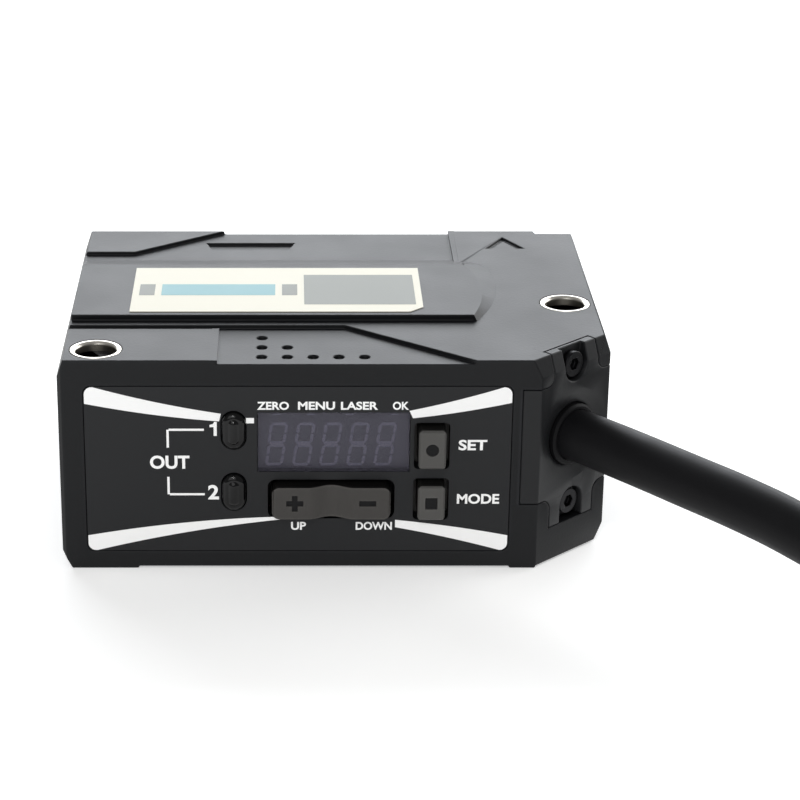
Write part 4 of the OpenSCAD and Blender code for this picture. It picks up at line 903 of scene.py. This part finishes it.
class SENSOR_OT_cable(bpy.types.Operator):
    """Make the cable and dress its tie and connector"""

    bl_idname = "sensor.cable"
    bl_label = "Cable and connector"

    # Rounding of the grip's edges in millimetres
    grip_edge = 0.15

    def execute(self, context):
        sizes, colours = settings(context)
        # Oil-proof PVC sheath, extruded: black with a satin shine and faint scuffs
        sheath = surface("PVC_extruded", colours.cable, 0.52, 0.35, 0.006, patch=4.0, tone=0.15, gloss=0.08,
                         Specular_IOR_Level=0.15)
        curve = bpy.data.curves.new("cable", "CURVE")
        curve.dimensions = "3D"
        curve.bevel_depth = sizes.cable / 2
        curve.bevel_resolution = 6
        curve.resolution_u = 6
        curve.use_fill_caps = True
        points = cable_points()
        spline = curve.splines.new("BEZIER")
        spline.bezier_points.add(len(points) - 1)
        for knot, point in zip(spline.bezier_points, points):
            knot.co = point
            knot.handle_left_type = knot.handle_right_type = "AUTO"
        curve.materials.append(sheath)
        cable = add_object("cable", curve)
        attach(cable, "housing")
        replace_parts(cable, "cable_lead", "cable_coil", "cable_tail")
        # Nylon tie, moulded: black, slightly waxy
        tie = surface("nylon_tie_moulded", "#121213", 0.42, 0.3, 0.004)
        dress(tie, "coil_tie")
        # Polyurethane moulded over the cable's end: black, soft sheen
        grip = surface("polyurethane_overmoulded", "#1b1b1d", 0.5, 0.3, 0.006)
        dress(grip, "connector_grip", "connector_insert")
        round_edges(self.grip_edge * MM, 25, "connector_grip")
        # Brass pins under gold plating: smooth, warm yellow
        gold = surface("brass_gold_plated", "#d9b455", 0.18, 0.3, 0.002, Metallic=1.0)
        dress(gold, "connector_pins")
        # Nickel-plated brass, turned and knurled: bright and a little warm
        nickel = surface("brass_nickel_plated", "#b9bbbd", 0.24, 0.2, 0.003, patch=3.0, Metallic=1.0)
        dress(nickel, "connector_ring")
        return {"FINISHED"}


class SENSOR_OT_stage(bpy.types.Operator):
    """Set the floor, the light and the camera"""

    bl_idname = "sensor.stage"
    bl_label = "Stage"

    # Name, place, aim, width, depth, power and colour of each soft light
    lights = [
        ("back_light", (0.0, 0.8, 0.42), (0.0, 0.0, 0.0), 1.3, 0.55, 11.0, (0.93, 0.96, 1.0)),
        ("front_light", (-0.25, -0.85, 0.6), (0.0, 0.0, 0.01), 0.9, 0.7, 2.6, (1.0, 1.0, 1.0)),
        ("strip_light", (-0.1, -0.6, 0.55), (0.0, 0.0, 0.01), 0.15, 0.018, 0.8, (1.0, 1.0, 1.0)),
        ("side_light", (0.8, 0.45, 0.35), (0.03, 0.0, 0.01), 0.6, 0.6, 5.0, (1.0, 1.0, 1.0)),
    ]
    # Camera fitted to the photograph: place in metres, pitch in degrees, lens and film in millimetres, and
    # sideways shift
    camera_place = (-0.00573, -0.27751, 0.1238)
    camera_pitch, camera_lens, camera_film, camera_shift = 22.0, 111.5, 36.0, 0.1425
    # Strength of the light from all around, how far the floor reaches in metres, and the colour of both glows
    world_strength, floor_reach, white = 0.3, 3.0, (1.0, 1.0, 1.0, 1.0)

    def execute(self, context):
        scene, colours = context.scene, context.scene.sensor_colours
        # Opal acrylic of a light table, sanded and lit from below: a white that stays even under the part
        opal = surface("acrylic_opal_sanded", colours.floor, 0.8, 0.8, 0.01, patch=60.0, tone=0.01,
                       Emission_Color=self.white, Emission_Strength=0.4)
        mesh = bpy.data.meshes.new("floor")
        reach = self.floor_reach
        corners = [(x, y, 0.0) for x, y in rectangle(-reach, -reach, reach, reach)]
        mesh.from_pydata(corners, [], [[0, 1, 2, 3]])
        mesh.materials.append(opal)
        floor = add_object("floor", mesh)
        for name, place, aim, width, depth, power, colour in self.lights:
            light = bpy.data.lights.new(name, "AREA")
            light.shape, light.size, light.size_y, light.energy = "RECTANGLE", width, depth, power
            light.color = colour
            lamp = add_object(name, light)
            lamp.location = place
            lamp.rotation_euler = (Vector(aim) - Vector(place)).to_track_quat("-Z", "Y").to_euler()
        world = bpy.data.worlds.new("studio")
        world.use_nodes = True
        backdrop = world.node_tree.nodes["Background"].inputs
        backdrop["Strength"].default_value = self.world_strength
        backdrop["Color"].default_value = self.white
        scene.world = world
        scene.view_settings.view_transform = "Standard"
        camera = bpy.data.cameras.new("camera")
        camera.lens, camera.sensor_width = self.camera_lens, self.camera_film
        camera.shift_x = self.camera_shift
        camera.clip_start = 0.01
        holder = add_object("camera", camera)
        holder.location = self.camera_place
        holder.rotation_euler = (math.radians(90.0 - self.camera_pitch), 0.0, 0.0)
        scene.camera = holder
        return {"FINISHED"}


OPERATORS = [SENSOR_OT_stage, SENSOR_OT_cable, SENSOR_OT_case, SENSOR_OT_panel, SENSOR_OT_display,
             SENSOR_OT_lenses, SENSOR_OT_keys, SENSOR_OT_bushes, SENSOR_OT_cable_entry, SENSOR_OT_label,
             SENSOR_OT_inside]


class SENSOR_PT_sidebar(bpy.types.Panel):
    """Lists the sensor's pieces, sizes and colours"""

    bl_label = "Laser displacement sensor"
    bl_space_type = "VIEW_3D"
    bl_region_type = "UI"
    bl_category = "Sensor"

    def draw(self, context):
        for operator in OPERATORS:
            self.layout.operator(operator.bl_idname)
        for group in settings(context):
            for key in group.__annotations__:
                self.layout.prop(group, key)


CLASSES = [SENSOR_PG_sizes, SENSOR_PG_colours, *OPERATORS, SENSOR_PT_sidebar]


def register():
    for cls in CLASSES:
        bpy.utils.register_class(cls)
    bpy.types.Scene.sensor_sizes = PointerProperty(type=SENSOR_PG_sizes)
    bpy.types.Scene.sensor_colours = PointerProperty(type=SENSOR_PG_colours)


def unregister():
    del bpy.types.Scene.sensor_colours
    del bpy.types.Scene.sensor_sizes
    for cls in reversed(CLASSES):
        bpy.utils.unregister_class(cls)


def main():
    register()
    bpy.ops.sensor.stage()
    bpy.ops.sensor.cable()
    bpy.ops.sensor.case()
    bpy.ops.sensor.panel()
    bpy.ops.sensor.display()
    bpy.ops.sensor.lenses()
    bpy.ops.sensor.keys()
    bpy.ops.sensor.bushes()
    bpy.ops.sensor.cable_entry()
    bpy.ops.sensor.label()
    bpy.ops.sensor.inside()


if __name__ == "__main__":
    main()
